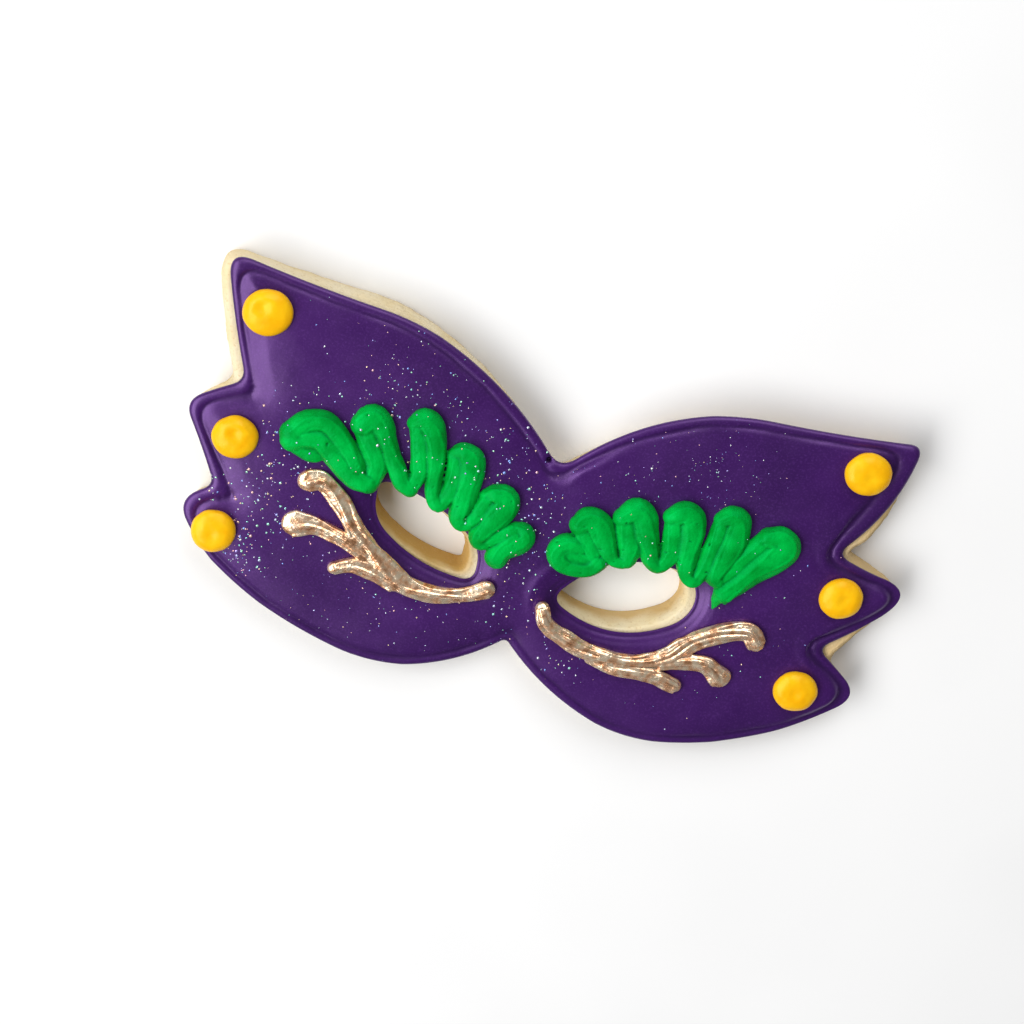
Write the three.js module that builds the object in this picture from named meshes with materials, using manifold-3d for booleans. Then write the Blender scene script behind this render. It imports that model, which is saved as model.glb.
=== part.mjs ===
// A masquerade-mask butter cookie: a cut-out biscuit under purple royal icing, with a piped green
// plume over each eye, a gold-painted spray under each eye and three yellow sugar dots on each wing.
// Millimetres, +Z up. The origin lies under the middle of the cookie, on its flat underside.

import * as THREE from 'three';
import { mergeVertices } from 'three/addons/utils/BufferGeometryUtils.js';
import Module from 'manifold-3d';

const wasm = await Module();
wasm.setup();

// Layer heights
const BISCUIT_TOP = 5.0;
const DECK = 6.7;

// Fineness of the outlines
const SAMPLE_STEP = 0.4;
const FLATNESS = 0.07;
const LONGEST_RUN = 7;

// The icing's edge, corner by corner from the top notch down each wing to the bottom notch.
// round: how far the rounding reaches along each side, bow: how far the side that leads to the
// corner swells outwards, crust: where the biscuit's own corner lies from it, crustRound and
// crustBow: its own form, flood: where the flooded middle's corner lies from it, floodRound and
// floodBow: its own form.
const TOP_NOTCH = { at: [-0.2, 9.3], round: 3.6, crust: [0, -1.8], flood: [-0.4, -1.7], floodRound: 2.6 };
const BOTTOM_NOTCH = { at: [0.4, -19.8], round: 0.9, crust: [0, 0.6], flood: [0, 1.9], floodRound: 1.6 };
const LEFT_WING = {
  shoulder: {
    at: [-28.4, 26.3],
    round: 5,
    bow: 2.4,
    crust: [-2, 0.8],
    crustBow: 2.8,
    flood: [-0.4, -1.3],
    floodBow: 2.2,
  },
  tip: {
    at: [-57.2, 29.1],
    round: 4.2,
    bow: -0.4,
    crust: [-1.1, -0.4],
    crustRound: 5,
    flood: [1.8, -1.3],
    floodRound: 5,
  },
  upperBay: {
    at: [-49.4, 10.0],
    round: 2.2,
    bow: 0.3,
    crust: [-1.4, -1.6],
    crustBow: 0.6,
    flood: [1.75, -1.2],
    floodRound: 1,
  },
  spike: { at: [-57.4, 4.4], round: 3, bow: 0.2, crust: [0.9, -1.4], flood: [1.7, -0.3], floodRound: 3.8 },
  lowerBay: {
    at: [-49.6, -7.6],
    round: 1.8,
    bow: -0.2,
    crust: [0.8, -1.2],
    flood: [3.2, -0.9],
    floodRound: 1,
  },
  corner: { at: [-54.1, -11.5], round: 3, bow: 0.2, crust: [1, -1], flood: [1.7, 0], floodRound: 3.5 },
  flank: { at: [-42.7, -22.4], round: 5, bow: 1.0, crust: [0.5, 0.5], flood: [0.5, 1.15] },
  belly: { at: [-18.8, -29.6], round: 5, bow: 1.05, crust: [0, 0.6], flood: [-0.1, 1.3] },
  notch: { ...BOTTOM_NOTCH, bow: 1.95 },
};
const RIGHT_WING = {
  shoulder: {
    at: [24.4, 25.8],
    round: 5,
    bow: 2.8,
    crust: [0, -2.2],
    crustBow: 2.4,
    flood: [0.3, -1.2],
    floodBow: 2.6,
  },
  tip: { at: [51.9, 28.8], round: 2.2, bow: -0.4, crust: [-0.6, -2.2], flood: [-1.6, -1.4], floodRound: 5.5 },
  upperBay: {
    at: [45.1, 8.2],
    round: 2.6,
    bow: 1.88,
    crust: [2.9, -0.2],
    crustBow: 1.8,
    flood: [-1.9, -0.7],
    floodRound: 3,
    floodBow: 0.1,
  },
  spike: {
    at: [60.2, 5.5],
    round: 7.2,
    bow: -0.5,
    crust: [-1.3, -1.3],
    crustRound: 5.2,
    crustBow: -0.3,
    flood: [-2.6, -1.1],
    floodRound: 5,
  },
  lowerBay: {
    at: [47.8, -7.9],
    round: 2.4,
    bow: 0.45,
    crust: [2.7, -2.4],
    crustBow: -0.2,
    flood: [-2.7, 0.25],
    floodRound: 3.4,
    floodBow: 0.8,
  },
  corner: { at: [57.1, -14.3], round: 3.8, bow: 0.2, crust: [-1, -0.8], flood: [-2.1, -0.1], floodRound: 3.8 },
  flank: { at: [41.9, -26.1], round: 5, bow: 0.8, crust: [-0.4, 0.5], flood: [-0.35, 1.2] },
  belly: { at: [23.3, -31.3], round: 5, bow: 0.9, crust: [0, 0.6], flood: [0.1, 1.25] },
  notch: { ...BOTTOM_NOTCH, bow: 1.85 },
};

// The eye openings in the icing, counter-clockwise, and how far the biscuit's own holes are moved
const LEFT_EYE = {
  corners: [
    { at: [-25.8, 0.5], round: 1.8, bow: 1.65 },
    { at: [-24.9, -5.8], round: 2.6, bow: 0.2 },
    { at: [-7.4, -12.0], round: 2, bow: 1.9 },
    { at: [-8.1, -6.4], round: 2, bow: 0.2 },
  ],
  crustShift: [-1, 0.4],
};
const RIGHT_EYE = {
  corners: [
    { at: [5.2, -11.3], round: 2, bow: 4.35 },
    { at: [27.1, -8.2], round: 3, bow: 4.3 },
    { at: [25.6, -1.8], round: 2.8, bow: 0.3 },
  ],
  crustShift: [-1, 0],
};

// Edge profiles from the bottom up: inset from the outline, and how much the eye holes shrink
const BISCUIT_PROFILE = [
  { z: 0, inset: 0.7, shrink: 0.9 },
  { z: 0.7, inset: 0.1, shrink: 1.1 },
  { z: 2.4, inset: 0, shrink: 0.9 },
  { z: 4.2, inset: 0.25, shrink: 0.6 },
  { z: BISCUIT_TOP, inset: 0.95, shrink: 0.25 },
];
const BEAD_PROFILE = [
  { z: BISCUIT_TOP, inset: 0.3 },
  { z: 5.6, inset: 0 },
  { z: 6.05, inset: 0.25 },
  { z: 6.2, inset: 0.6 },
  { z: 6.06, inset: 0.95 },
];

// The flooded middle of the icing, from its foot behind the bead
const EYE_FOOT = 1.3;
const FLOOD_PROFILE = [
  { z: 6.08, inset: 0 },
  { z: 6.42, inset: 0.7 },
  { z: 6.6, inset: 1.35 },
  { z: DECK, inset: 2.1 },
];

// Piped icing: each stroke runs through places with its half-width there: [x, y, half]
const ROPE_SIDES = 8;
const ROPE_STEP = 1.35;
const SUNK_SHARE = 0.6;
const WELD = 0.02;

// Green plumes: rising strokes, then the higher ones that fold over their tops and fall
const RISING_HEIGHT = 1.25;
const FALLING_HEIGHT = 1.5;
const LEFT_PLUME = {
  rising: [
    [[-38.6, 3.4, 1.8], [-36.6, 2.3, 1.3], [-35.2, 2.6, 0.9]],
    [[-27.4, 0.6, 1.7], [-27.3, 3.4, 1.9], [-28.9, 6.4, 2.1], [-30.4, 8.4, 1.9]],
    [[-21.2, 1.4, 1.2], [-20.7, 4.4, 1.6], [-21.8, 8.4, 1.6], [-22.9, 10.8, 1.4]],
    [[-16.2, -0.2, 1.1], [-15.3, 2, 1.4], [-15.5, 5.2, 1.4], [-16, 7.4, 1.3]],
    [[-11.8, -2.3, 1], [-10.3, -0.7, 1.4], [-9.5, 2.4, 1.4]],
    [[-8.3, -4.6, 1], [-6.5, -3, 1.4], [-4.1, -1.3, 1.3]],
  ],
  falling: [
    [[-39.8, 4.9, 2.2], [-38.6, 7.1, 1.6], [-36.2, 7.5, 1.6], [-33, 5.2, 1.7], [-30, 2.2, 1.6]],
    [[-39.6, 4, 2], [-36.4, 5, 1.9], [-33.2, 2.9, 1.9], [-29.6, 0.4, 1.9], [-27.6, 0, 1.7]],
    [[-30.9, 8.8, 1.9], [-29.8, 10.1, 2.2], [-27, 7.7, 1.6], [-24, 3.4, 1.4], [-21.2, 1.2, 1.3]],
    [[-23.4, 11.2, 1.3], [-22, 12, 1.9], [-20, 9.4, 1.9], [-18.3, 3.5, 1.4], [-16.4, -0.3, 1.2]],
    [[-16.5, 7.8, 1.1], [-14.7, 8.5, 1.9], [-13.3, 5, 2.2], [-13, 0.4, 1.7], [-11.9, -2.4, 1.2]],
    [[-9.7, 2.9, 1.2], [-7.6, 3.1, 2.1], [-7.4, 0.4, 2.3], [-9.1, -3.4, 1.5], [-8.4, -4.6, 1.2]],
    [[-3.9, -1.1, 1.2], [-2.5, -1.6, 1.8], [-3.8, -3.5, 2.2], [-5.4, -6.3, 1.85]],
  ],
};
const RIGHT_PLUME = {
  rising: [
    [[4.9, -1.6, 1.8], [6.2, -2.7, 2], [8.4, -2.9, 1.7]],
    [[9.2, -3, 1.5], [8.2, -0.9, 1.8], [6.7, 0.9, 1.8], [5.6, 2.4, 1.5]],
    [[13.9, -1.2, 1.4], [13.8, 0.8, 2], [12.8, 3, 2], [11.8, 4.9, 1.7]],
    [[19.4, -0.5, 1.2], [20, 2.1, 1.7], [19, 7, 1.6]],
    [[25.3, -1, 1.15], [26, 1.8, 1.6], [26.2, 8.5, 1.5]],
    [[28.8, -0.2, 1.1], [30.9, 3.6, 1.5], [33.4, 8, 1.7]],
  ],
  falling: [
    [[4.7, -0.7, 1.3], [3, -2, 1.3], [3.5, -4.1, 1.3], [6.5, -4.6, 1.4], [9.7, -3.2, 1.5]],
    [[5.2, 2.3, 1.6], [6.9, 3.5, 2.3], [9.5, 1.1, 1.9], [11.9, -1.4, 1.2], [14, -1.2, 1.2]],
    [[11.2, 5.4, 1.5], [13.3, 6.8, 2.2], [15.3, 4.2, 2], [17.4, 0, 1.4], [19.3, -0.5, 1.2]],
    [[18.3, 7.5, 1.4], [20.5, 8.7, 2], [22, 6, 2.2], [23, 0.4, 1.5], [25.2, -1.1, 1.2]],
    [[25.9, 9.2, 1.3], [27.6, 10, 1.9], [28.6, 7.1, 2.2], [28, 2.6, 2], [28.5, -0.4, 1.3]],
    [[33.4, 8.4, 1.5], [35.9, 8.1, 2.6], [34.6, 4.5, 2.6], [31.7, 0.3, 2], [30.1, -2.2, 1.6]],
    [[30.1, -2.4, 1.3], [29.5, -3.9, 0.9], [29.4, -5.2, 0.35]],
  ],
};

// Gold sprays: flatter strokes, the longest first
const SPRAY_HEIGHT = 1.1;
const LEFT_SPRAY = [
  [
    [-36.2, -2.2, 1.75], [-34.6, -1.6, 1.5], [-32.6, -2.6, 1.4], [-30.2, -4.6, 1.45], [-26.6, -8.6, 1.55],
    [-22.4, -12.1, 1.8], [-18, -14.5, 1.75], [-13.7, -15, 1.4], [-8.4, -13.8, 1.1], [-5.2, -12, 1.45],
  ],
  [[-36.4, -9.5, 2.1], [-33.6, -9, 1.4], [-29.7, -9.8, 1.3], [-24.6, -11.2, 1.3]],
  [[-28.7, -15, 1], [-26, -13.6, 1.15], [-22.8, -13.9, 1.4], [-19.2, -14.9, 1.4]],
];
const RIGHT_SPRAY = [
  [
    [4, -12.6, 1.15], [5.2, -14.7, 1.2], [8.8, -16.6, 1.3], [14.7, -17.8, 1.25], [21.1, -17.2, 1.15],
    [25.2, -15, 1.5], [28.4, -11.6, 1.7], [32.7, -8.6, 1.65], [36.2, -7.6, 1.5], [37.9, -9.2, 1.3],
  ],
  [[24.5, -16.4, 1.1], [28, -15.2, 1.15], [31.5, -14.9, 1.3], [34.3, -16.2, 1.8]],
  [[13.4, -19, 0.6], [17.9, -19.3, 1.05], [24, -18.9, 1.25], [28, -19.6, 1.1]],
];

// Sugar dots: centre and half-widths on the icing
const DOT_HEIGHT = 2.0;
const DOT_SEGMENTS = 18;
const DOT_PROFILE = [[0, 0], [0.93, 0], [1, 0.28], [0.93, 0.6], [0.7, 0.86], [0.36, 0.98], [0, 1]];
const DOTS = {
  yellow_dot_left_top: { at: [-49.2, 21.9], half: [3.88, 3.73] },
  yellow_dot_left_middle: { at: [-48.7, 1.6], half: [3.6, 3.45] },
  yellow_dot_left_bottom: { at: [-47.9, -14.1], half: [3.45, 3.45] },
  yellow_dot_right_top: { at: [44.8, 22.7], half: [3.65, 3.45] },
  yellow_dot_right_middle: { at: [47.9, 1.9], half: [3.45, 3.4] },
  yellow_dot_right_bottom: { at: [46.5, -15.2], half: [3.55, 3.4] },
};

// Finishes
const finish = (color, roughness, metalness = 0) =>
  new THREE.MeshStandardMaterial({ color, roughness, metalness });
const BISCUIT = finish('#e2cc9f', 0.85);
const PURPLE_ICING = finish('#44275f', 0.45);
const GREEN_ICING = finish('#08b048', 0.5);
const GOLD_PAINT = finish('#b48a5c', 0.3, 0.9);
const YELLOW_ICING = finish('#f4bd20', 0.4);

const toVector = ([x, y]) => new THREE.Vector2(x, y);
const areaOf = (loop) => THREE.ShapeUtils.area(loop);

// A side from one corner to the next, swelling to the right of its direction
function bowedSide(from, to, bow) {
  const along = to.clone().sub(from).normalize();
  const outward = new THREE.Vector2(along.y, -along.x);
  const control = from.clone().lerp(to, 0.5).addScaledVector(outward, 2 * bow);
  return new THREE.QuadraticBezierCurve(from, control, to);
}

// Points an even step apart along a closed run of points
function respaced(points) {
  const path = new THREE.Path().setFromPoints([...points, points[0]]);
  const count = Math.round(path.getLength() / SAMPLE_STEP);
  return path.getSpacedPoints(count).slice(0, count);
}

// A closed counter-clockwise loop through rounded corners joined by bowed sides
function roundedLoop(corners) {
  const count = corners.length;
  const places = corners.map((corner) => toVector(corner.at));
  const sides = corners.map((corner, i) => bowedSide(places.at(i - 1), places[i], corner.bow));
  const points = [];
  corners.forEach((corner, i) => {
    const side = sides[i];
    const next = sides[(i + 1) % count];
    const start = corners.at(i - 1).round / side.getLength();
    const end = 1 - corner.round / side.getLength();
    const turn = new THREE.QuadraticBezierCurve(
      side.getPoint(end),
      places[i],
      next.getPoint(corner.round / next.getLength()),
    );
    const steps = Math.ceil(side.getLength() / SAMPLE_STEP);
    for (let k = 0; k < steps; k += 1) {
      points.push(side.getPoint(start + ((end - start) * k) / steps));
    }
    points.push(...turn.getPoints(steps).slice(0, -1));
  });
  return respaced(points);
}

// The mask's outline: down the left wing, round the bottom notch and back up the right wing
function maskLoop(cornerOf) {
  const left = Object.values(LEFT_WING).map(cornerOf);
  const right = Object.values(RIGHT_WING).map(cornerOf);
  const upwards = right.slice(0, -1).map((corner, i) => ({ ...corner, bow: right[i + 1].bow }));
  const notch = { ...cornerOf(TOP_NOTCH), bow: right[0].bow };
  return roundedLoop([notch, ...left, ...upwards.reverse()]);
}

const moved = ([x, y], [dx, dy]) => [x + dx, y + dy];
const icingCorner = ({ at, round, bow }) => ({ at, round, bow });
const crustCorner = ({ at, round, bow, crust, crustRound = round, crustBow = bow }) => ({
  at: moved(at, crust),
  round: crustRound,
  bow: crustBow,
});
const floodCorner = ({ at, round, bow, flood, floodRound = round, floodBow = bow }) => ({
  at: moved(at, flood),
  round: floodRound,
  bow: floodBow,
});

// A loop moved inwards by a distance, or outwards by a negative one, without folds
function offsetLoop(loop, inset) {
  const count = loop.length;
  const tolerance = 0.02;
  const shifted = loop.map((point, i) => {
    const along = loop[(i + 1) % count].clone().sub(loop.at(i - 1)).normalize();
    return new THREE.Vector2(point.x - along.y * inset, point.y + along.x * inset);
  });
  const nearest = (place) => Math.min(...loop.map((point) => point.distanceTo(place)));
  return shifted.filter((place) => nearest(place) > Math.abs(inset) - tolerance);
}

// A loop with only the points that keep it within FLATNESS of its full form
function simplified(loop) {
  const closed = [...loop, loop[0]];
  const kept = [];
  const strays = (point, from, to) => {
    const chord = to.clone().sub(from);
    return Math.abs(chord.cross(point.clone().sub(from))) / chord.length() > FLATNESS;
  };
  let start = 0;
  for (let i = 1; i < closed.length; i += 1) {
    const between = closed.slice(start + 1, i);
    const tooLong = closed[i].distanceTo(closed[start]) > LONGEST_RUN;
    if (tooLong || between.some((point) => strays(point, closed[start], closed[i]))) {
      kept.push(closed[start]);
      start = i - 1;
    }
  }
  kept.push(closed[start]);
  return kept;
}

// A closed solid from level loops stacked upwards: the first loop is the rim, the rest are holes
function terrace(levels) {
  const positions = [];
  const index = [];
  const rings = levels.map(({ z, loops }) =>
    loops.map((full) => {
      const loop = simplified(full);
      const first = positions.length / 3;
      loop.forEach((point) => positions.push(point.x, point.y, z));
      return { loop, ids: loop.map((_, i) => first + i) };
    }),
  );
  const cover = ([rim, ...holes], facesUp) => {
    const points = [rim, ...holes].flatMap((ring) => ring.loop);
    const ids = [rim, ...holes].flatMap((ring) => ring.ids);
    const triangles = THREE.ShapeUtils.triangulateShape(rim.loop, holes.map((hole) => hole.loop));
    for (const [a, b, c] of triangles) {
      const turnsLeft = areaOf([points[a], points[b], points[c]]) > 0;
      const order = turnsLeft === facesUp ? [a, b, c] : [a, c, b];
      index.push(...order.map((i) => ids[i]));
    }
  };
  const wall = (lower, upper, facesOut) => {
    const [n, m] = [lower.ids.length, upper.ids.length];
    const gaps = upper.loop.map((point) => point.distanceTo(lower.loop[0]));
    const start = gaps.indexOf(Math.min(...gaps));
    const low = (i) => i % n;
    const high = (j) => (start + j) % m;
    const gap = (i, j) => lower.loop[low(i)].distanceTo(upper.loop[high(j)]);
    let i = 0;
    let j = 0;
    while (i < n || j < m) {
      const goesLow = j === m || (i < n && gap(i + 1, j) < gap(i, j + 1));
      const next = goesLow ? lower.ids[low(i + 1)] : upper.ids[high(j + 1)];
      const triangle = [lower.ids[low(i)], next, upper.ids[high(j)]];
      index.push(...(facesOut ? triangle : triangle.reverse()));
      if (goesLow) i += 1;
      else j += 1;
    }
  };
  cover(rings[0], false);
  for (let k = 1; k < rings.length; k += 1) {
    rings[k].forEach((upper, i) => wall(rings[k - 1][i], upper, i === 0));
  }
  cover(rings.at(-1), true);
  const geometry = new THREE.BufferGeometry();
  geometry.setAttribute('position', new THREE.Float32BufferAttribute(positions, 3));
  geometry.setIndex(index);
  return geometry;
}

function biscuitGeometry() {
  const edge = maskLoop(crustCorner);
  const holes = [LEFT_EYE, RIGHT_EYE].map(({ corners, crustShift }) =>
    roundedLoop(corners).map((point) => point.add(toVector(crustShift))),
  );
  const levels = BISCUIT_PROFILE.map(({ z, inset, shrink }) => ({
    z,
    loops: [offsetLoop(edge, inset), ...holes.map((hole) => offsetLoop(hole, shrink))],
  }));
  return terrace(levels);
}

function icingGeometry() {
  const edge = maskLoop(icingCorner);
  const eyes = [LEFT_EYE, RIGHT_EYE].map(({ corners }) => roundedLoop(corners));
  const foot = maskLoop(floodCorner);
  const eyeFeet = eyes.map((eye) => respaced(offsetLoop(eye, -EYE_FOOT)));
  const stacked = (profile, rim, holes) =>
    profile.map(({ z, inset }) => ({
      z,
      loops: [offsetLoop(rim, inset), ...holes.map((hole) => offsetLoop(hole, -inset))],
    }));
  return terrace([...stacked(BEAD_PROFILE, edge, eyes), ...stacked(FLOOD_PROFILE, foot, eyeFeet)]);
}

// A closed rope of piped icing with round ends, lying flat along a stroke
function ropeGeometry(stroke, rise) {
  const path = smoothPath(stroke);
  const last = path.length - 1;
  const fullness = 1 / Math.cos(Math.PI / ROPE_SIDES);
  const stops = path.map(({ place, radius }, k) => {
    const ahead = path[Math.min(k + 1, last)].place;
    const along = ahead.clone().sub(path[Math.max(k - 1, 0)].place).normalize();
    return { place, along, radius, beyond: 0, width: 1 };
  });
  const cap = Math.PI / 4;
  const rounded = { width: Math.cos(cap) };
  const stations = [
    { ...stops[0], ...rounded, beyond: -Math.sin(cap) },
    ...stops,
    { ...stops[last], ...rounded, beyond: Math.sin(cap) },
  ];
  const middleOf = ({ place, along, radius }, beyond) =>
    place.clone().addScaledVector(along, beyond * radius);
  const riseOf = ({ radius }) => Math.min(rise, radius);
  const axisOf = (station) => DECK + (1 - SUNK_SHARE) * riseOf(station);
  const positions = [];
  const index = [];
  for (const station of stations) {
    const middle = middleOf(station, station.beyond);
    for (let s = 0; s < ROPE_SIDES; s += 1) {
      const angle = (2 * Math.PI * (s + 0.5)) / ROPE_SIDES;
      const across = Math.cos(angle) * station.radius * station.width * fullness;
      const height = axisOf(station) + Math.sin(angle) * riseOf(station) * station.width * fullness;
      positions.push(middle.x - station.along.y * across, middle.y + station.along.x * across, height);
    }
  }
  const rings = stations.length;
  for (let r = 0; r + 1 < rings; r += 1) {
    for (let s = 0; s < ROPE_SIDES; s += 1) {
      const a = r * ROPE_SIDES + s;
      const b = r * ROPE_SIDES + ((s + 1) % ROPE_SIDES);
      index.push(a, b, b + ROPE_SIDES, a, b + ROPE_SIDES, a + ROPE_SIDES);
    }
  }
  const poles = [[stops[0], -1, 0], [stops[last], 1, rings - 1]];
  for (const [stop, beyond, ring] of poles) {
    const pole = positions.length / 3;
    const middle = middleOf(stop, beyond);
    positions.push(middle.x, middle.y, axisOf(stop));
    for (let s = 0; s < ROPE_SIDES; s += 1) {
      const a = ring * ROPE_SIDES + s;
      const b = ring * ROPE_SIDES + ((s + 1) % ROPE_SIDES);
      index.push(pole, ...(ring === 0 ? [b, a] : [a, b]));
    }
  }
  const geometry = new THREE.BufferGeometry();
  geometry.setAttribute('position', new THREE.Float32BufferAttribute(positions, 3));
  geometry.setIndex(index);
  return geometry;
}

function solidOf(geometry) {
  const bare = geometry.clone();
  bare.deleteAttribute('normal');
  bare.deleteAttribute('uv');
  const merged = mergeVertices(bare, 1e-4);
  return new wasm.Manifold(
    new wasm.Mesh({
      numProp: 3,
      vertProperties: new Float32Array(merged.attributes.position.array),
      triVerts: new Uint32Array(merged.index.array),
    }),
  );
}

function geometryOf(solid) {
  const { vertProperties, triVerts } = solid.getMesh();
  const geometry = new THREE.BufferGeometry();
  geometry.setAttribute('position', new THREE.BufferAttribute(vertProperties, 3));
  geometry.setIndex(new THREE.BufferAttribute(triVerts, 1));
  return geometry;
}

// The same body without the hair-thin facets left where ropes graze each other
function welded(geometry) {
  const merged = mergeVertices(geometry, WELD);
  const corners = Array.from(merged.index.array);
  const triangles = [];
  for (let i = 0; i < corners.length; i += 3) triangles.push(corners.slice(i, i + 3));
  const keyOf = (triangle) => [...triangle].sort((a, b) => a - b).join();
  const uses = new Map();
  for (const triangle of triangles) uses.set(keyOf(triangle), (uses.get(keyOf(triangle)) ?? 0) + 1);
  const sound = (triangle) => new Set(triangle).size === 3 && uses.get(keyOf(triangle)) === 1;
  merged.setIndex(triangles.filter(sound).flat());
  return merged;
}

// Ropes fused into one body and cut flat where they rest on the icing
function pipedGeometry(ropes) {
  const size = 200;
  const below = new THREE.BoxGeometry(size, size, size).translate(0, 0, DECK - size / 2);
  const fused = ropes.map(solidOf).reduce((body, rope) => body.add(rope));
  return welded(geometryOf(fused.subtract(solidOf(below))));
}

// Stops an even step apart on a smooth curve through a stroke's places
function smoothPath(stroke) {
  const curve = new THREE.CatmullRomCurve3(stroke.map((stop) => new THREE.Vector3(...stop)));
  const steps = Math.max(3, Math.round(curve.getLength() / ROPE_STEP));
  return curve.getSpacedPoints(steps).map(({ x, y, z }) => ({ place: new THREE.Vector2(x, y), radius: z }));
}

function plumeGeometry({ rising, falling }) {
  return pipedGeometry([
    ...rising.map((stroke) => ropeGeometry(stroke, RISING_HEIGHT)),
    ...falling.map((stroke) => ropeGeometry(stroke, FALLING_HEIGHT)),
  ]);
}

function sprayGeometry(strokes) {
  return pipedGeometry(strokes.map((stroke) => ropeGeometry(stroke, SPRAY_HEIGHT)));
}

function dotGeometry({ at, half }) {
  const profile = DOT_PROFILE.map(([r, h]) => new THREE.Vector2(r, h * DOT_HEIGHT));
  const dome = new THREE.LatheGeometry(profile, DOT_SEGMENTS)
    .rotateX(Math.PI / 2)
    .scale(half[0], half[1], 1)
    .translate(at[0], at[1], DECK);
  return geometryOf(solidOf(dome));
}

function piece(name, geometry, material) {
  const mesh = new THREE.Mesh(geometry, material);
  mesh.name = name;
  return mesh;
}

const cookie = new THREE.Group();
cookie.add(
  piece('biscuit', biscuitGeometry(), BISCUIT),
  piece('purple_icing', icingGeometry(), PURPLE_ICING),
  piece('green_plume_left', plumeGeometry(LEFT_PLUME), GREEN_ICING.clone()),
  piece('green_plume_right', plumeGeometry(RIGHT_PLUME), GREEN_ICING.clone()),
  piece('gold_spray_left', sprayGeometry(LEFT_SPRAY), GOLD_PAINT.clone()),
  piece('gold_spray_right', sprayGeometry(RIGHT_SPRAY), GOLD_PAINT.clone()),
);
for (const [name, dot] of Object.entries(DOTS)) {
  cookie.add(piece(name, dotGeometry(dot), YELLOW_ICING.clone()));
}

// Centre the footprint on the origin
const box = new THREE.Box3().setFromObject(cookie);
const middle = box.getCenter(new THREE.Vector3());
cookie.position.set(-middle.x, -middle.y, 0);

export default cookie;
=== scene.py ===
"""Looks of a masquerade-mask butter cookie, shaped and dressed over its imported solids.

Sizes are millimetres in the baker's own layout: x across the mask from its left wing to its right
wing, y towards the brows and z up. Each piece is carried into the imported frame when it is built.
"""

import logging
import math
from collections.abc import Callable
from dataclasses import dataclass, field, replace
from enum import Enum
from itertools import product

import bpy
import numpy as np
from mathutils import Matrix, Vector
from mathutils.bvhtree import BVHTree
from mathutils.geometry import delaunay_2d_cdt
from mathutils.kdtree import KDTree


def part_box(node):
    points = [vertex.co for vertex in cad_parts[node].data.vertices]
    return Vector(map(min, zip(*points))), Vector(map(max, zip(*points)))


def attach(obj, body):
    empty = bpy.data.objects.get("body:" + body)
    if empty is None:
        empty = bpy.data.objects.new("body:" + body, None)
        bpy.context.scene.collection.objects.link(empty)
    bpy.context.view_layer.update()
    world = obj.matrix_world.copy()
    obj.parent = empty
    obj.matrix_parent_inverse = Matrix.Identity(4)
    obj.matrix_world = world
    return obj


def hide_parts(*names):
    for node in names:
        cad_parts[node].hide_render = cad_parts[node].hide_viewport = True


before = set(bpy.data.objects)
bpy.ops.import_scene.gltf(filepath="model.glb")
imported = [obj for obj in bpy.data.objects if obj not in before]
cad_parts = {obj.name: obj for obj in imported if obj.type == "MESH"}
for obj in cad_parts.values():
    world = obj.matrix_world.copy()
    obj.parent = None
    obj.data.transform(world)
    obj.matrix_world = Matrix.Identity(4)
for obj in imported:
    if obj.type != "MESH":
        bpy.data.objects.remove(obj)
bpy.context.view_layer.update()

LOG = logging.getLogger("cookie")
MM = 0.001
BODY = "root"
# Heights of the biscuit's top and of the icing that the piping lies on.
BISCUIT_TOP = 5.0
DECK = 6.7
# How close two points of a sheet are taken as one, and how finely curves and skins are drawn.
SAME_POINT = 1e-6
CURVE_STEPS = 24
SOFTENING = 0.5

# A layer of noise is its lumps' size and height, and a stroke's points end with a half-width.
Place = tuple[float, float]
Span = tuple[float, float]
Shade = tuple[int, int, int]
Colour = tuple[float, float, float, float]
Layers = tuple[tuple[float, float], ...]
Stroke = tuple[tuple[float, float, float], ...]
Socket = bpy.types.NodeSocket


class Slot(Enum):
    """The record's material slots."""

    BISCUIT = "biscuit"
    PURPLE_ICING = "purple_icing"
    GREEN_ICING = "green_icing"
    GOLD_PAINT = "gold_paint"
    YELLOW_ICING = "yellow_icing"
    GLITTER = "glitter"


def linear(shade: Shade) -> Colour:
    """Turns a screen colour into a shader colour.

    Args:
        shade: Red, green and blue from 0 to 255.

    Returns:
        The same colour in linear light, with full alpha.
    """
    parts = [part / 255 for part in shade]
    lit = [part / 12.92 if part <= 0.04045 else ((part + 0.055) / 1.055) ** 2.4 for part in parts]
    return (*lit, 1.0)


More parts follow.
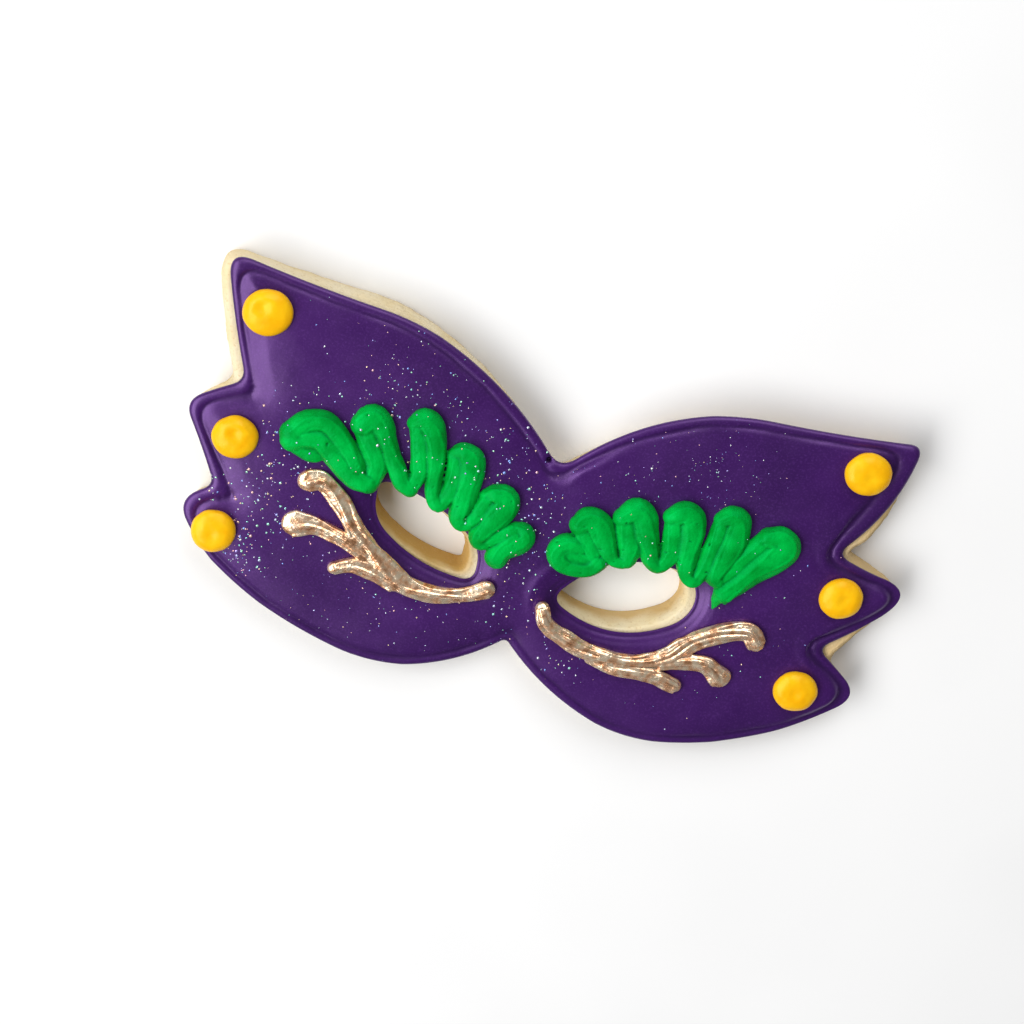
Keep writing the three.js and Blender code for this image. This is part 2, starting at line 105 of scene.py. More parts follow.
class Grain:
    """Seeded soft noise for hand-made unevenness.

    Attributes:
        CELLS: How many cells it has before it repeats.
        SWING: What brings its values to about -1 to 1.
    """

    CELLS = 256
    SWING = 1.6

    def __init__(self, seed: int) -> None:
        """Draws the noise's directions.

        Args:
            seed: What the draw starts from.
        """
        draw = np.random.default_rng(seed)
        ways = draw.normal(size=(self.CELLS, 3))
        self.ways = ways / np.linalg.norm(ways, axis=1)[:, None]
        self.order = draw.permutation(self.CELLS)

    def at(self, places: np.ndarray, size: float) -> np.ndarray:
        """Reads the noise.

        Args:
            places: Points, one row each, in millimetres.
            size: About how far apart the lumps are.

        Returns:
            One value for each point, about -1 to 1.
        """
        cells = places / size
        corner = np.floor(cells).astype(int)
        inside = cells - corner
        fade = inside**3 * (inside * (inside * 6 - 15) + 10)
        total = np.zeros(len(places))
        for step in product((0, 1), repeat=3):
            x, y, z = ((corner + step) % self.CELLS).T
            way = self.ways[self.order[(x + self.order[(y + self.order[z]) % self.CELLS]) % self.CELLS]]
            slope = np.einsum("ij,ij->i", way, inside - step)
            total += slope * np.prod(np.where(step, fade, 1 - fade), axis=1)
        return self.SWING * total

    def layered(self, places: np.ndarray, layers: Layers) -> np.ndarray:
        """Adds up layers of the noise, each given by its lumps' size and height."""
        return sum(height * self.at(places, size) for size, height in layers)


@dataclass
class Form:
    """Points and faces of one piece while it is being shaped, in millimetres."""

    rows: list[np.ndarray] = field(default_factory=list)
    faces: list[tuple[int, ...]] = field(default_factory=list)
    count: int = 0

    def add(self, places: np.ndarray) -> np.ndarray:
        """Adds points.

        Args:
            places: One row of x, y and z for each point.

        Returns:
            The new points' numbers.
        """
        self.rows.append(np.asarray(places, float))
        first = self.count
        self.count += len(places)
        return np.arange(first, self.count)

    def strip(self, low: np.ndarray, high: np.ndarray) -> None:
        """Joins two closed rings of as many points with faces that look out to the right of their run."""
        for a, b, c, d in zip(low, np.roll(low, -1), np.roll(high, -1), high):
            self.faces.append((int(a), int(b), int(c), int(d)))

    def fan(self, ring: np.ndarray, tip: int, reverse: bool = False) -> None:
        """Closes a ring towards one point."""
        for a, b in zip(ring, np.roll(ring, -1)):
            self.faces.append((int(b), int(a), tip) if reverse else (int(a), int(b), tip))

    def mesh(self, name: str, scale: float = 1.0) -> bpy.types.Mesh:
        """Makes a mesh of what was added.

        Args:
            name: The mesh's name.
            scale: Size of a millimetre in the mesh's own unit.

        Returns:
            The mesh, smooth shaded.
        """
        made = bpy.data.meshes.new(name)
        made.from_pydata((np.vstack(self.rows) * scale).tolist(), [], self.faces)
        made.shade_smooth()
        return made


def read_rows(mesh: bpy.types.Mesh, name: str) -> np.ndarray:
    """Reads three numbers from each of a mesh's points.

    Args:
        mesh: The mesh.
        name: What to read, as the points call it.

    Returns:
        One row for each point.
    """
    flat = np.empty(len(mesh.vertices) * 3)
    mesh.vertices.foreach_get(name, flat)
    return flat.reshape(-1, 3)


def points_of(mesh: bpy.types.Mesh) -> np.ndarray:
    """The places of a mesh's points, one row each."""
    return read_rows(mesh, "co")


def normals_of(mesh: bpy.types.Mesh) -> np.ndarray:
    """The outward directions at a mesh's points, one row each."""
    return read_rows(mesh, "normal")


def move_points(mesh: bpy.types.Mesh, places: np.ndarray) -> None:
    """Puts a mesh's points at new places."""
    mesh.vertices.foreach_set("co", np.ascontiguousarray(places, dtype=np.float32).ravel())
    mesh.update()


def push_out(mesh: bpy.types.Mesh, places: np.ndarray, by: np.ndarray) -> None:
    """Puts a mesh's points at places moved out along its outward directions."""
    move_points(mesh, places + normals_of(mesh) * by[:, None])


def note_down(mesh: bpy.types.Mesh, name: str, values: np.ndarray) -> None:
    """Notes one value on each of a mesh's points, for its finish to read."""
    mesh.attributes.new(name, "FLOAT", "POINT").data.foreach_set("value", values.astype(np.float32))


def mark_creases(mesh: bpy.types.Mesh, reach: int, full: float) -> None:
    """Notes on each point how deep it lies in a crease, for the finish to darken with painted shade.

    Args:
        mesh: The mesh to mark, in millimetres.
        reach: Rounds of smoothing that the creases are measured against.
        full: Depth in millimetres that counts as a full crease.
    """
    ends = np.empty(len(mesh.edges) * 2, dtype=np.int64)
    mesh.edges.foreach_get("vertices", ends)
    one, other = ends.reshape(-1, 2).T
    places = points_of(mesh)
    total = len(places)
    ties = np.maximum(np.bincount(one, minlength=total) + np.bincount(other, minlength=total), 1)
    soft = places.copy()
    for _ in range(reach):
        for axis in range(3):
            row = soft[:, axis]
            near = np.bincount(one, row[other], total) + np.bincount(other, row[one], total)
            soft[:, axis] = near / ties
    depth = np.einsum("ij,ij->i", soft - places, normals_of(mesh))
    note_down(mesh, "crease", np.clip(depth / full, -1, 1))


class Bench:
    """Lays out the shader nodes of one finish.

    Attributes:
        CLOUD_SPAN: The values between which most of a cloud lies.
        MIX_SHARE, MIX_UNDER, MIX_OVER, MIX_RESULT: Sockets of a mixing node that mixes colours.
    """

    CLOUD_SPAN = (0.3, 0.7)
    MIX_SHARE, MIX_UNDER, MIX_OVER, MIX_RESULT = 0, 6, 7, 2

    def __init__(self, name: str) -> None:
        """Starts a material with the plain surface shader.

        Args:
            name: The material's name.
        """
        self.material = bpy.data.materials.new(name)
        self.material.use_nodes = True
        self.nodes = self.material.node_tree.nodes
        self.links = self.material.node_tree.links
        self.surface = self.nodes["Principled BSDF"]
        self.where = self.nodes.new("ShaderNodeTexCoord").outputs["Object"]
        self.relief: Socket | None = None

    def set(self, values: dict[str, float | Colour]) -> None:
        """Sets values that are the same all over on the surface shader itself."""
        for name, value in values.items():
            self.surface.inputs[name].default_value = value

    def feed(self, name: str, source: Socket) -> None:
        """Feeds one of the surface shader's inputs."""
        self.links.new(source, self.surface.inputs[name])

    def clouds(self, size: float, detail: float = 2.0) -> Socket:
        """Makes soft noise.

        Args:
            size: About how wide its patches are, in millimetres.
            detail: How many finer layers it has.

        Returns:
            A value from 0 to 1.
        """
        node = self.nodes.new("ShaderNodeTexNoise")
        node.inputs["Scale"].default_value = 1 / (size * MM)
        node.inputs["Detail"].default_value = detail
        self.links.new(self.where, node.inputs["Vector"])
        return node.outputs["Fac"]

    def height(self) -> Socket:
        """Finds the height over the underside.

        Returns:
            The height, in metres.
        """
        node = self.nodes.new("ShaderNodeSeparateXYZ")
        self.links.new(self.where, node.inputs["Vector"])
        return node.outputs["Z"]

    def noted(self, name: str) -> Socket:
        """Reads a value that was noted on the piece's points.

        Args:
            name: What it was noted as.

        Returns:
            The value.
        """
        node = self.nodes.new("ShaderNodeAttribute")
        node.attribute_name = name
        return node.outputs["Fac"]

    def spread(self, value: Socket, span: Span, onto: Span = (0.0, 1.0)) -> Socket:
        """Stretches a value from one span onto another, held at its ends.

        Args:
            value: The value.
            span: Where the ends lie.
            onto: What the ends become.

        Returns:
            The stretched value.
        """
        node = self.nodes.new("ShaderNodeMapRange")
        for name, number in zip(("From Min", "From Max", "To Min", "To Max"), (*span, *onto)):
            node.inputs[name].default_value = number
        self.links.new(value, node.inputs["Value"])
        return node.outputs["Result"]

    def tints(self, value: Socket, stops: dict[float, Shade]) -> Socket:
        """Colours a value.

        Args:
            value: What picks the colour, from 0 to 1.
            stops: Colours by the value they stand at.

        Returns:
            The colour.
        """
        node = self.nodes.new("ShaderNodeValToRGB")
        marks = node.color_ramp.elements
        while len(marks) < len(stops):
            marks.new(0.5)
        for mark, (at, shade) in zip(marks, sorted(stops.items())):
            mark.position = at
            mark.color = linear(shade)
        self.links.new(value, node.inputs["Fac"])
        return node.outputs["Color"]

    def over(self, share: Socket, under: Socket, shade: Shade) -> Socket:
        """Lays one even colour over another.

        Args:
            share: How much of it covers, from 0 to 1.
            under: What it is laid over.
            shade: The even colour.

        Returns:
            The mixed colour.
        """
        node = self.nodes.new("ShaderNodeMix")
        node.data_type = "RGBA"
        self.links.new(share, node.inputs[self.MIX_SHARE])
        self.links.new(under, node.inputs[self.MIX_UNDER])
        node.inputs[self.MIX_OVER].default_value = linear(shade)
        return node.outputs[self.MIX_RESULT]

    def shade_creases(self, under: Socket, shade: Shade, depths: Span, most: float) -> Socket:
        """Lays a colour into the creases as painted shade, from none of it to most of it over a span of
        depths.
        """
        return self.over(self.spread(self.noted("crease"), depths, (0.0, most)), under, shade)

    def dull(self, size: float, roughness: Span, detail: float = 2.0) -> None:
        """Lets the roughness wander over a span, in patches of a size."""
        self.feed("Roughness", self.spread(self.clouds(size, detail), self.CLOUD_SPAN, roughness))

    def emboss(self, value: Socket, depth: float) -> None:
        """Adds relief to what the surface already has.

        Args:
            value: How high the relief stands, from 0 to 1.
            depth: Its full height, in millimetres.
        """
        node = self.nodes.new("ShaderNodeBump")
        node.inputs["Strength"].default_value = 1.0
        node.inputs["Distance"].default_value = depth * MM
        self.links.new(value, node.inputs["Height"])
        if self.relief is not None:
            self.links.new(self.relief, node.inputs["Normal"])
        self.relief = node.outputs["Normal"]
        self.feed("Normal", self.relief)


@dataclass(frozen=True)
class BakedCrumb:
    """Pale, dry butter biscuit, golden where it is browned and where shade is painted on."""

    pale: Shade = (235, 221, 188)
    warm: Shade = (229, 208, 160)
    # Golden tone, for baked colour and for painted shade.
    golden: Shade = (196, 158, 90)
    pit: Shade = (204, 172, 118)
    patch_size: float = 6.0
    crumb_size: float = 0.45
    crumb_height: float = 0.16
    pit_share: float = 0.45
    roughness: float = 0.85
    shine: float = 0.2

    def material(self) -> bpy.types.Material:
        """Mixes the finish.

        Returns:
            Its material.
        """
        bench = Bench("baked_crumb")
        patches = bench.tints(bench.clouds(self.patch_size, 4.0), {0.3: self.warm, 0.62: self.pale})
        # Golden where the noted tone asks for it: baked colour and painted shade.
        toned = bench.over(bench.noted("browning_and_shade"), patches, self.golden)
        pits = bench.spread(bench.clouds(self.crumb_size, 3.0), (0.42, 0.3), (0.0, self.pit_share))
        bench.feed("Base Color", bench.over(pits, toned, self.pit))
        bench.set({"Roughness": self.roughness, "Specular IOR Level": self.shine})
        bench.emboss(bench.clouds(self.crumb_size, 4.0), self.crumb_height)
        return bench.material


@dataclass(frozen=True)
class PurpleSatin:
    """Dark purple royal icing, dried to a satin skin. Its foot is a span of heights in metres."""

    deep: Shade = (47, 15, 76)
    plain: Shade = (56, 18, 88)
    # Painted shade laid into the creases.
    groove: Shade = (30, 10, 52)
    thin_edge: Shade = (78, 22, 62)
    grain: Shade = (84, 44, 120)
    # Painted shade inside the pinhole.
    hole: Shade = (14, 4, 24)
    sheen: Colour = (0.7, 0.4, 1.0, 1.0)
    patch_size: float = 11.0
    grain_size: float = 0.3
    grain_share: float = 0.5
    crease_shade_share: float = 0.5
    foot: Span = (0.00516, 0.00498)
    foot_share: float = 0.7
    dull_size: float = 4.0
    roughness: Span = (0.33, 0.41)
    shine: float = 1.0
    skin_size: float = 0.5
    skin_height: float = 0.012
    wave_size: float = 2.6
    wave_height: float = 0.03

    def material(self) -> bpy.types.Material:
        """Mixes the finish.

        Returns:
            Its material.
        """
        bench = Bench("purple_satin")
        plain = bench.tints(bench.clouds(self.patch_size, 3.0), {0.34: self.deep, 0.66: self.plain})
        grains = bench.spread(bench.clouds(self.grain_size), (0.5, 0.8), (0.0, self.grain_share))
        body = bench.over(grains, plain, self.grain)
        # Painted shade in the creases.
        crease_shaded = bench.shade_creases(body, self.groove, (0.1, 1.0), self.crease_shade_share)
        foot = bench.spread(bench.height(), self.foot, (0.0, self.foot_share))
        edged = bench.over(foot, crease_shaded, self.thin_edge)
        # Painted shade inside the pinhole.
        pinhole_shade_share = bench.spread(bench.noted("pinhole"), (0.2, 0.6))
        bench.feed("Base Color", bench.over(pinhole_shade_share, edged, self.hole))
        bench.dull(self.dull_size, self.roughness, 3.0)
        bench.set({"Specular IOR Level": self.shine, "Specular Tint": self.sheen})
        bench.emboss(bench.clouds(self.skin_size), self.skin_height)
        bench.emboss(bench.clouds(self.wave_size), self.wave_height)
        return bench.material


@dataclass(frozen=True)
class GreenPiping:
    """Bright green piped icing with a soft, faintly grainy skin."""

    bright: Shade = (0, 180, 64)
    plain: Shade = (0, 145, 42)
    # Painted shade laid into the creases.
    groove: Shade = (0, 62, 14)
    sheen: Colour = (0.02, 1.0, 0.5, 1.0)
    patch_size: float = 3.4
    crease_shade_share: float = 0.9
    dull_size: float = 1.8
    roughness: Span = (0.42, 0.54)
    shine: float = 0.45
    skin_size: float = 0.34
    skin_height: float = 0.07

    def material(self) -> bpy.types.Material:
        """Mixes the finish.

        Returns:
            Its material.
        """
        bench = Bench("green_piping")
        body = bench.tints(bench.clouds(self.patch_size, 3.0), {0.32: self.plain, 0.66: self.bright})
        # Painted shade in the creases.
        bench.feed("Base Color", bench.shade_creases(body, self.groove, (0.0, 1.0), self.crease_shade_share))
        bench.dull(self.dull_size, self.roughness)
        bench.set({"Specular IOR Level": self.shine, "Specular Tint": self.sheen})
        bench.emboss(bench.clouds(self.skin_size, 3.0), self.skin_height)
        return bench.material


@dataclass(frozen=True)
class GoldLustre:
    """Champagne-gold lustre paint in uneven streaks, with painted shade laid dark into its grooves."""

    bright: Shade = (255, 233, 202)
    plain: Shade = (250, 197, 155)
    worn: Shade = (203, 149, 108)
    # Painted shade laid into the creases.
    groove: Shade = (92, 58, 36)
    streak_size: float = 1.3
    crease_shade_share: float = 0.85
    dull_size: float = 1.2
    roughness: Span = (0.2, 0.36)
    metal: float = 0.77
    skin_size: float = 0.8
    skin_height: float = 0.11

    def material(self) -> bpy.types.Material:
        """Mixes the finish.

        Returns:
            Its material.
        """
        bench = Bench("gold_lustre")
        stops = {0.34: self.worn, 0.44: self.plain, 0.6: self.bright}
        streaks = bench.tints(bench.clouds(self.streak_size, 4.0), stops)
        # Painted shade in the creases.
        bench.feed("Base Color", bench.shade_creases(streaks, self.groove, (0.1, 0.9), self.crease_shade_share))
        bench.dull(self.dull_size, self.roughness, 3.0)
        bench.set({"Metallic": self.metal})
        bench.emboss(bench.clouds(self.skin_size), self.skin_height)
        return bench.material


@dataclass(frozen=True)
class YellowPiping:
    """Warm yellow piped icing. Its foot is a span of heights in metres."""

    bright: Shade = (255, 196, 18)
    plain: Shade = (250, 180, 6)
    low: Shade = (230, 148, 2)
    sheen: Colour = (1.0, 0.88, 0.4, 1.0)
    patch_size: float = 2.6
    foot: Span = (0.0076, 0.0066)
    foot_share: float = 0.6
    dull_size: float = 1.6
    roughness: Span = (0.28, 0.4)
    shine: float = 0.45
    skin_size: float = 0.45
    skin_height: float = 0.02

    def material(self) -> bpy.types.Material:
        """Mixes the finish.

        Returns:
            Its material.
        """
        bench = Bench("yellow_piping")
        body = bench.tints(bench.clouds(self.patch_size, 3.0), {0.32: self.plain, 0.66: self.bright})
        foot = bench.spread(bench.height(), self.foot, (0.0, self.foot_share))
        bench.feed("Base Color", bench.over(foot, body, self.low))
        bench.dull(self.dull_size, self.roughness)
        bench.set({"Specular IOR Level": self.shine, "Specular Tint": self.sheen})
        bench.emboss(bench.clouds(self.skin_size), self.skin_height)
        return bench.material


@dataclass(frozen=True)
class GlitterFlake:
    """Tiny mirror-bright flakes of one run of colours."""

    name: str
    first: Shade
    second: Shade
    tint_size: float = 0.9
    dull_size: float = 0.7
    roughness: Span = (0.12, 0.3)
    metal: float = 0.55

    def material(self) -> bpy.types.Material:
        """Mixes the finish.

        Returns:
            Its material.
        """
        bench = Bench(self.name)
        tints = {0.4: self.first, 0.6: self.second}
        bench.feed("Base Color", bench.tints(bench.clouds(self.tint_size, 1.0), tints))
        bench.dull(self.dull_size, self.roughness, 1.0)
        bench.set({"Metallic": self.metal})
        return bench.material


@dataclass(frozen=True)
class PaleFloor:
    """The studio's plain pale floor."""

    light: Shade = (246, 246, 246)
    plain: Shade = (243, 243, 243)
    patch_size: float = 60.0
    roughness: float = 0.9
    shine: float = 0.1

    def material(self) -> bpy.types.Material:
        """Mixes the finish.

        Returns:
            Its material.
        """
        bench = Bench("pale_floor")
        patches = {0.4: self.plain, 0.6: self.light}
        bench.feed("Base Color", bench.tints(bench.clouds(self.patch_size), patches))
        bench.set({"Roughness": self.roughness, "Specular IOR Level": self.shine})
        return bench.material


Finish = BakedCrumb | PurpleSatin | GreenPiping | GoldLustre | YellowPiping | GlitterFlake | PaleFloor


@dataclass(frozen=True)
class Dot:
    """A piped sugar dot.

    Attributes:
        at: The place of its middle.
        half: Its half-widths across and towards the brows.
        dimple: Where its dimple lies from its middle, in half-widths.
        dimple_depth: How deep the dimple is.
    """

    at: Place
    half: Place
    dimple: Place = (0.0, 0.0)
    dimple_depth: float = 0.12


DOTS = {
    "yellow_dot_left_top": Dot((-49.2, 21.9), (3.76, 3.62), (-0.25, 0.24), 0.24),
    "yellow_dot_left_middle": Dot((-48.7, 1.6), (3.5, 3.42), (-0.08, 0.28), 0.2),
    "yellow_dot_left_bottom": Dot((-47.9, -14.1), (3.45, 3.45), (-0.1, -0.1), 0.1),
    "yellow_dot_right_top": Dot((44.8, 22.7), (3.65, 3.45), (0.05, -0.1), 0.1),
    "yellow_dot_right_middle": Dot((47.9, 1.9), (3.45, 3.4), (0.1, 0.1), 0.12),
    "yellow_dot_right_bottom": Dot((46.5, -15.2), (3.55, 3.4), (-0.1, 0.0), 0.12),
}


def layout_shift() -> np.ndarray:
    """Compares one dot's packed place with its place in the baker's layout.

    Returns:
        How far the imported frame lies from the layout, in millimetres.
    """
    name = "yellow_dot_left_top"
    low, high = (np.array(corner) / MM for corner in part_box(name))
    middle = (low + high) / 2
    return np.array([middle[0] - DOTS[name].at[0], middle[1] - DOTS[name].at[1], 0.0])


SHIFT = layout_shift()


def set_down(
    mesh: bpy.types.Mesh, name: str, finish: Finish, stands_for: tuple[str, ...] = ()
) -> bpy.types.Object:
    """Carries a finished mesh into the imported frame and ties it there.

    Args:
        mesh: The mesh, in millimetres of the baker's layout.
        name: The piece's name.
        finish: What it is dressed in.
        stands_for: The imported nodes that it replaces.

    Returns:
        The piece.
    """
    move_points(mesh, (points_of(mesh) + SHIFT) * MM)
    mesh.name = name
    mesh.materials.append(finish.material())
    piece = bpy.data.objects.new(name, mesh)
    bpy.context.scene.collection.objects.link(piece)
    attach(piece, BODY)
    if stands_for:
        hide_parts(*stands_for)
    return piece


@dataclass(frozen=True)
class Corner:
    """A rounded corner of a cut-out edge.

    Attributes:
        at: The corner's place.
        turn: How far the rounding reaches along each side.
        bow: How far the side that leads to it swells outwards.
        crust: Where the biscuit's own corner lies from the icing's.
        crust_turn: The biscuit's rounding, where it differs.
        crust_bow: The swell of the biscuit's side, where it differs.
        flood: Where the flooded middle's corner lies from the icing's.
        flood_turn: The flooded middle's rounding, where it differs.
        flood_bow: The swell of the flooded middle's side, where it differs.
    """

    at: Place
    turn: float
    bow: float = 0.0
    crust: Place = (0.0, 0.0)
    crust_turn: float | None = None
    crust_bow: float | None = None
    flood: Place = (0.0, 0.0)
    flood_turn: float | None = None
    flood_bow: float | None = None

    def of_icing(self) -> "Corner":
        """The corner itself."""
        return self

    def of_biscuit(self) -> "Corner":
        """The same corner of the biscuit under the icing."""
        return self.moved(self.crust, self.crust_turn, self.crust_bow)

    def of_flood(self) -> "Corner":
        """The same corner of the icing's flooded middle."""
        return self.moved(self.flood, self.flood_turn, self.flood_bow)

    def moved(self, by: Place, turn: float | None, bow: float | None) -> "Corner":
        """The corner at another place, with its own rounding and swell where they are given."""
        at = (self.at[0] + by[0], self.at[1] + by[1])
        return Corner(at, self.turn if turn is None else turn, self.bow if bow is None else bow)


class Loop:
    """A closed, counter-clockwise edge as evenly spaced points.

    Attributes:
        MEASURE_STEPS: Steps that a side's length is measured in.
        SIDE_STEPS: Steps that a side is drawn in.
        ROUND_STEPS: Steps that a rounded corner is drawn in.
        FEWEST: The fewest points that an edge has.
        FOLD_ROOM: The share of a bend's radius that an inset may take.
        STRAIGHT: The least bend that counts.
        SOFTENED: How many neighbours an inset is evened over.
        NEAR: How near the edge a point's depth is measured square to it.
    """

    MEASURE_STEPS = 200
    SIDE_STEPS = 120
    ROUND_STEPS = 60
    FEWEST = 8
    FOLD_ROOM = 0.8
    STRAIGHT = 1e-6
    SOFTENED = 5
    NEAR = 0.5

    def __init__(self, places: np.ndarray) -> None:
        """Keeps the points and works out the way inwards at each.

        Args:
            places: The points in order, one row each.
        """
        self.places = places
        run = np.roll(places, -1, axis=0) - np.roll(places, 1, axis=0)
        run /= np.linalg.norm(run, axis=1)[:, None]
        self.inward = np.column_stack([-run[:, 1], run[:, 0]])
        turn = run[:, 0] * np.roll(run, -1, axis=0)[:, 1] - run[:, 1] * np.roll(run, -1, axis=0)[:, 0]
        step = np.linalg.norm(np.roll(places, -1, axis=0) - places, axis=1)
        self.bend = turn / step
        self.tree = KDTree(len(places))
        for number, (x, y) in enumerate(places):
            self.tree.insert((x, y, 0.0), number)
        self.tree.balance()

    @classmethod
    def through(cls, corners: list[Corner], step: float) -> "Loop":
        """Makes the edge through rounded corners joined by bowed sides.

        Args:
            corners: The corners, counter-clockwise.
            step: How far apart the points are.

        Returns:
            The edge.
        """
        spots = [np.array(corner.at) for corner in corners]
        befores = [spots[-1], *spots[:-1]]
        sides = [cls.bowed(before, spot, corner.bow) for before, spot, corner in zip(befores, spots, corners)]
        steps = [np.diff(cls.curve(side, cls.MEASURE_STEPS), axis=0) for side in sides]
        lengths = [float(np.linalg.norm(row, axis=1).sum()) for row in steps]
        rows = []
        for i, corner in enumerate(corners):
            after = (i + 1) % len(corners)
            start = corners[i - 1].turn / lengths[i]
            end = 1 - corner.turn / lengths[i]
            rows.append(cls.curve(sides[i], cls.SIDE_STEPS, start, end)[:-1])
            leave = cls.curve(sides[i], 1, end, end)[0]
            enter = cls.curve(sides[after], 1, corner.turn / lengths[after], 1)[0]
            rows.append(cls.curve((leave, spots[i], enter), cls.ROUND_STEPS)[:-1])
        return cls(cls.spaced(np.vstack(rows), step))

    @staticmethod
    def bowed(start: np.ndarray, end: np.ndarray, bow: float) -> tuple[np.ndarray, np.ndarray, np.ndarray]:
        """The start, pull and end of a side that swells to the right of its run."""
        run = (end - start) / np.linalg.norm(end - start)
        return start, (start + end) / 2 + 2 * bow * np.array([run[1], -run[0]]), end

    @staticmethod
    def curve(
        side: tuple[np.ndarray, np.ndarray, np.ndarray], steps: int, low: float = 0.0, high: float = 1.0
    ) -> np.ndarray:
        """Draws a bowed side.

        Args:
            side: Its start, pull and end.
            steps: How many steps the drawn stretch has.
            low: The share of the side that the stretch starts at.
            high: The share that it ends at.

        Returns:
            The stretch's points.
        """
        t = np.linspace(low, high, steps + 1)[:, None]
        start, pull, end = side
        return (1 - t) ** 2 * start + 2 * t * (1 - t) * pull + t**2 * end

    @staticmethod
    def spaced(places: np.ndarray, step: float) -> np.ndarray:
        """Spaces a closed run's points evenly.

        Args:
            places: The run's points.
            step: How far apart they are to be.

        Returns:
            Points of the same run, evenly spaced.
        """
        closed = np.vstack([places, places[:1]])
        along = np.concatenate([[0], np.cumsum(np.linalg.norm(np.diff(closed, axis=0), axis=1))])
        marks = np.linspace(0, along[-1], max(Loop.FEWEST, round(along[-1] / step)) + 1)[:-1]
        return np.column_stack([np.interp(marks, along, closed[:, axis]) for axis in range(2)])

    def ring(self, inset: float) -> np.ndarray:
        """Moves the edge inwards point by point, held back in tight corners so that it never folds.

        Args:
            inset: How far inwards, or outwards where it is under 0.

        Returns:
            The moved points.
        """
        room = self.FOLD_ROOM / np.maximum(np.abs(self.bend), self.STRAIGHT)
        tight = (self.bend > 0) == (inset > 0)
        reach = np.where(tight, np.minimum(abs(inset), room), abs(inset))
        half = self.SOFTENED // 2
        padded = np.concatenate([reach[-half:], reach, reach[:half]])
        reach = np.minimum(reach, np.convolve(padded, np.ones(self.SOFTENED) / self.SOFTENED, "valid"))
        return self.places + self.inward * (math.copysign(1, inset) * reach)[:, None]

    def depth(self, places: np.ndarray) -> np.ndarray:
        """Measures how far points lie inside the edge.

        Args:
            places: The points, one row each.

        Returns:
            One depth for each point, under 0 outside the edge.
        """
        near = np.array([self.tree.find((x, y, 0.0))[1] for x, y in places[:, :2]])
        gap = places[:, :2] - self.places[near]
        side = np.einsum("ij,ij->i", gap, self.inward[near])
        far = np.linalg.norm(gap, axis=1)
        return np.where(far < self.NEAR, side, np.copysign(far, side))


def cover(
    form: Form,
    edges: list[np.ndarray],
    rows: list[np.ndarray],
    inner: np.ndarray,
    keep: "MaskSheet",
    up: bool,
) -> None:
    """Fills the sheet between closed edges with triangles.

    Args:
        form: The form that the sheet is added to.
        edges: Numbers of the edges' points in the form, ring by ring.
        rows: The places of the edges' points, ring by ring.
        inner: Points inside the sheet, with their heights.
        keep: The sheet that triangles must lie in.
        up: Whether the sheet faces up.
    """
    places = np.vstack([*rows, inner])
    numbers = np.concatenate([*edges, form.add(inner)])
    ties = []
    first = 0
    for row in rows:
        ring = list(range(first, first + len(row)))
        ties += zip(ring, ring[1:] + ring[:1])
        first += len(row)
    flat = [Vector((x, y)) for x, y in places[:, :2]]
    spots, _, faces, origins, _, _ = delaunay_2d_cdt(flat, ties, [], 0, SAME_POINT)
    source = np.array([found[0] for found in origins])
    corners = np.array(faces)
    spots = np.array(spots)
    middles = spots[corners].mean(axis=1)
    for a, b, c in numbers[source[corners[keep.holds(middles)]]]:
        one, two, three = (int(number) for number in (a, b, c))
        form.faces.append((one, two, three) if up else (one, three, two))


@dataclass
class MaskSheet:
    """A mask-shaped sheet: an outer edge with two eye holes in it.

    Attributes:
        CLOSE: How far a row may come nearer to its own edge than its inset.
        LINE_SHARE: How far apart the net's lines are, for a spacing of 1 along them.
        edge: The outer edge.
        eyes: The edges of the left and the right eye hole.
    """

    CLOSE = 0.02
    LINE_SHARE = 0.87

    edge: Loop
    eyes: tuple[Loop, Loop]

    def holds(self, places: np.ndarray) -> np.ndarray:
        """Tells which points lie on the sheet.

        Args:
            places: The points, one row each.

        Returns:
            Whether each lies on it.
        """
        on = self.edge.depth(places) > 0
        for eye in self.eyes:
            on &= eye.depth(places) < 0
        return on

    def steps(self, insets: tuple[float, ...], spacing: float) -> np.ndarray:
        """Points for a fine net that follows the edges and is even further in.

        Args:
            insets: How far from the edges the rows that follow them lie.
            spacing: How far apart the points further in are.

        Returns:
            The points' places.
        """
        rows = []
        for loop, way in ((self.edge, 1), *((eye, -1) for eye in self.eyes)):
            for inset in insets:
                moved = loop.places + loop.inward * inset * way
                others = [other for other in (self.edge, *self.eyes) if other is not loop]
                clear = np.abs(loop.depth(moved)) > inset - self.CLOSE
                for other in others:
                    clear &= np.abs(other.depth(moved)) > inset
                rows.append(moved[clear & self.holds(moved)])
        low, high = self.edge.places.min(axis=0), self.edge.places.max(axis=0)
        columns = np.arange(low[0], high[0], spacing)
        lines = np.arange(low[1], high[1], spacing * self.LINE_SHARE)
        x, y = np.meshgrid(columns, lines)
        x[1::2] += spacing / 2
        grid = np.column_stack([x.ravel(), y.ravel()])
        deep = self.edge.depth(grid) > insets[-1] + spacing / 2
        for eye in self.eyes:
            deep &= eye.depth(grid) < -insets[-1] - spacing / 2
        rows.append(grid[deep])
        return np.vstack(rows)


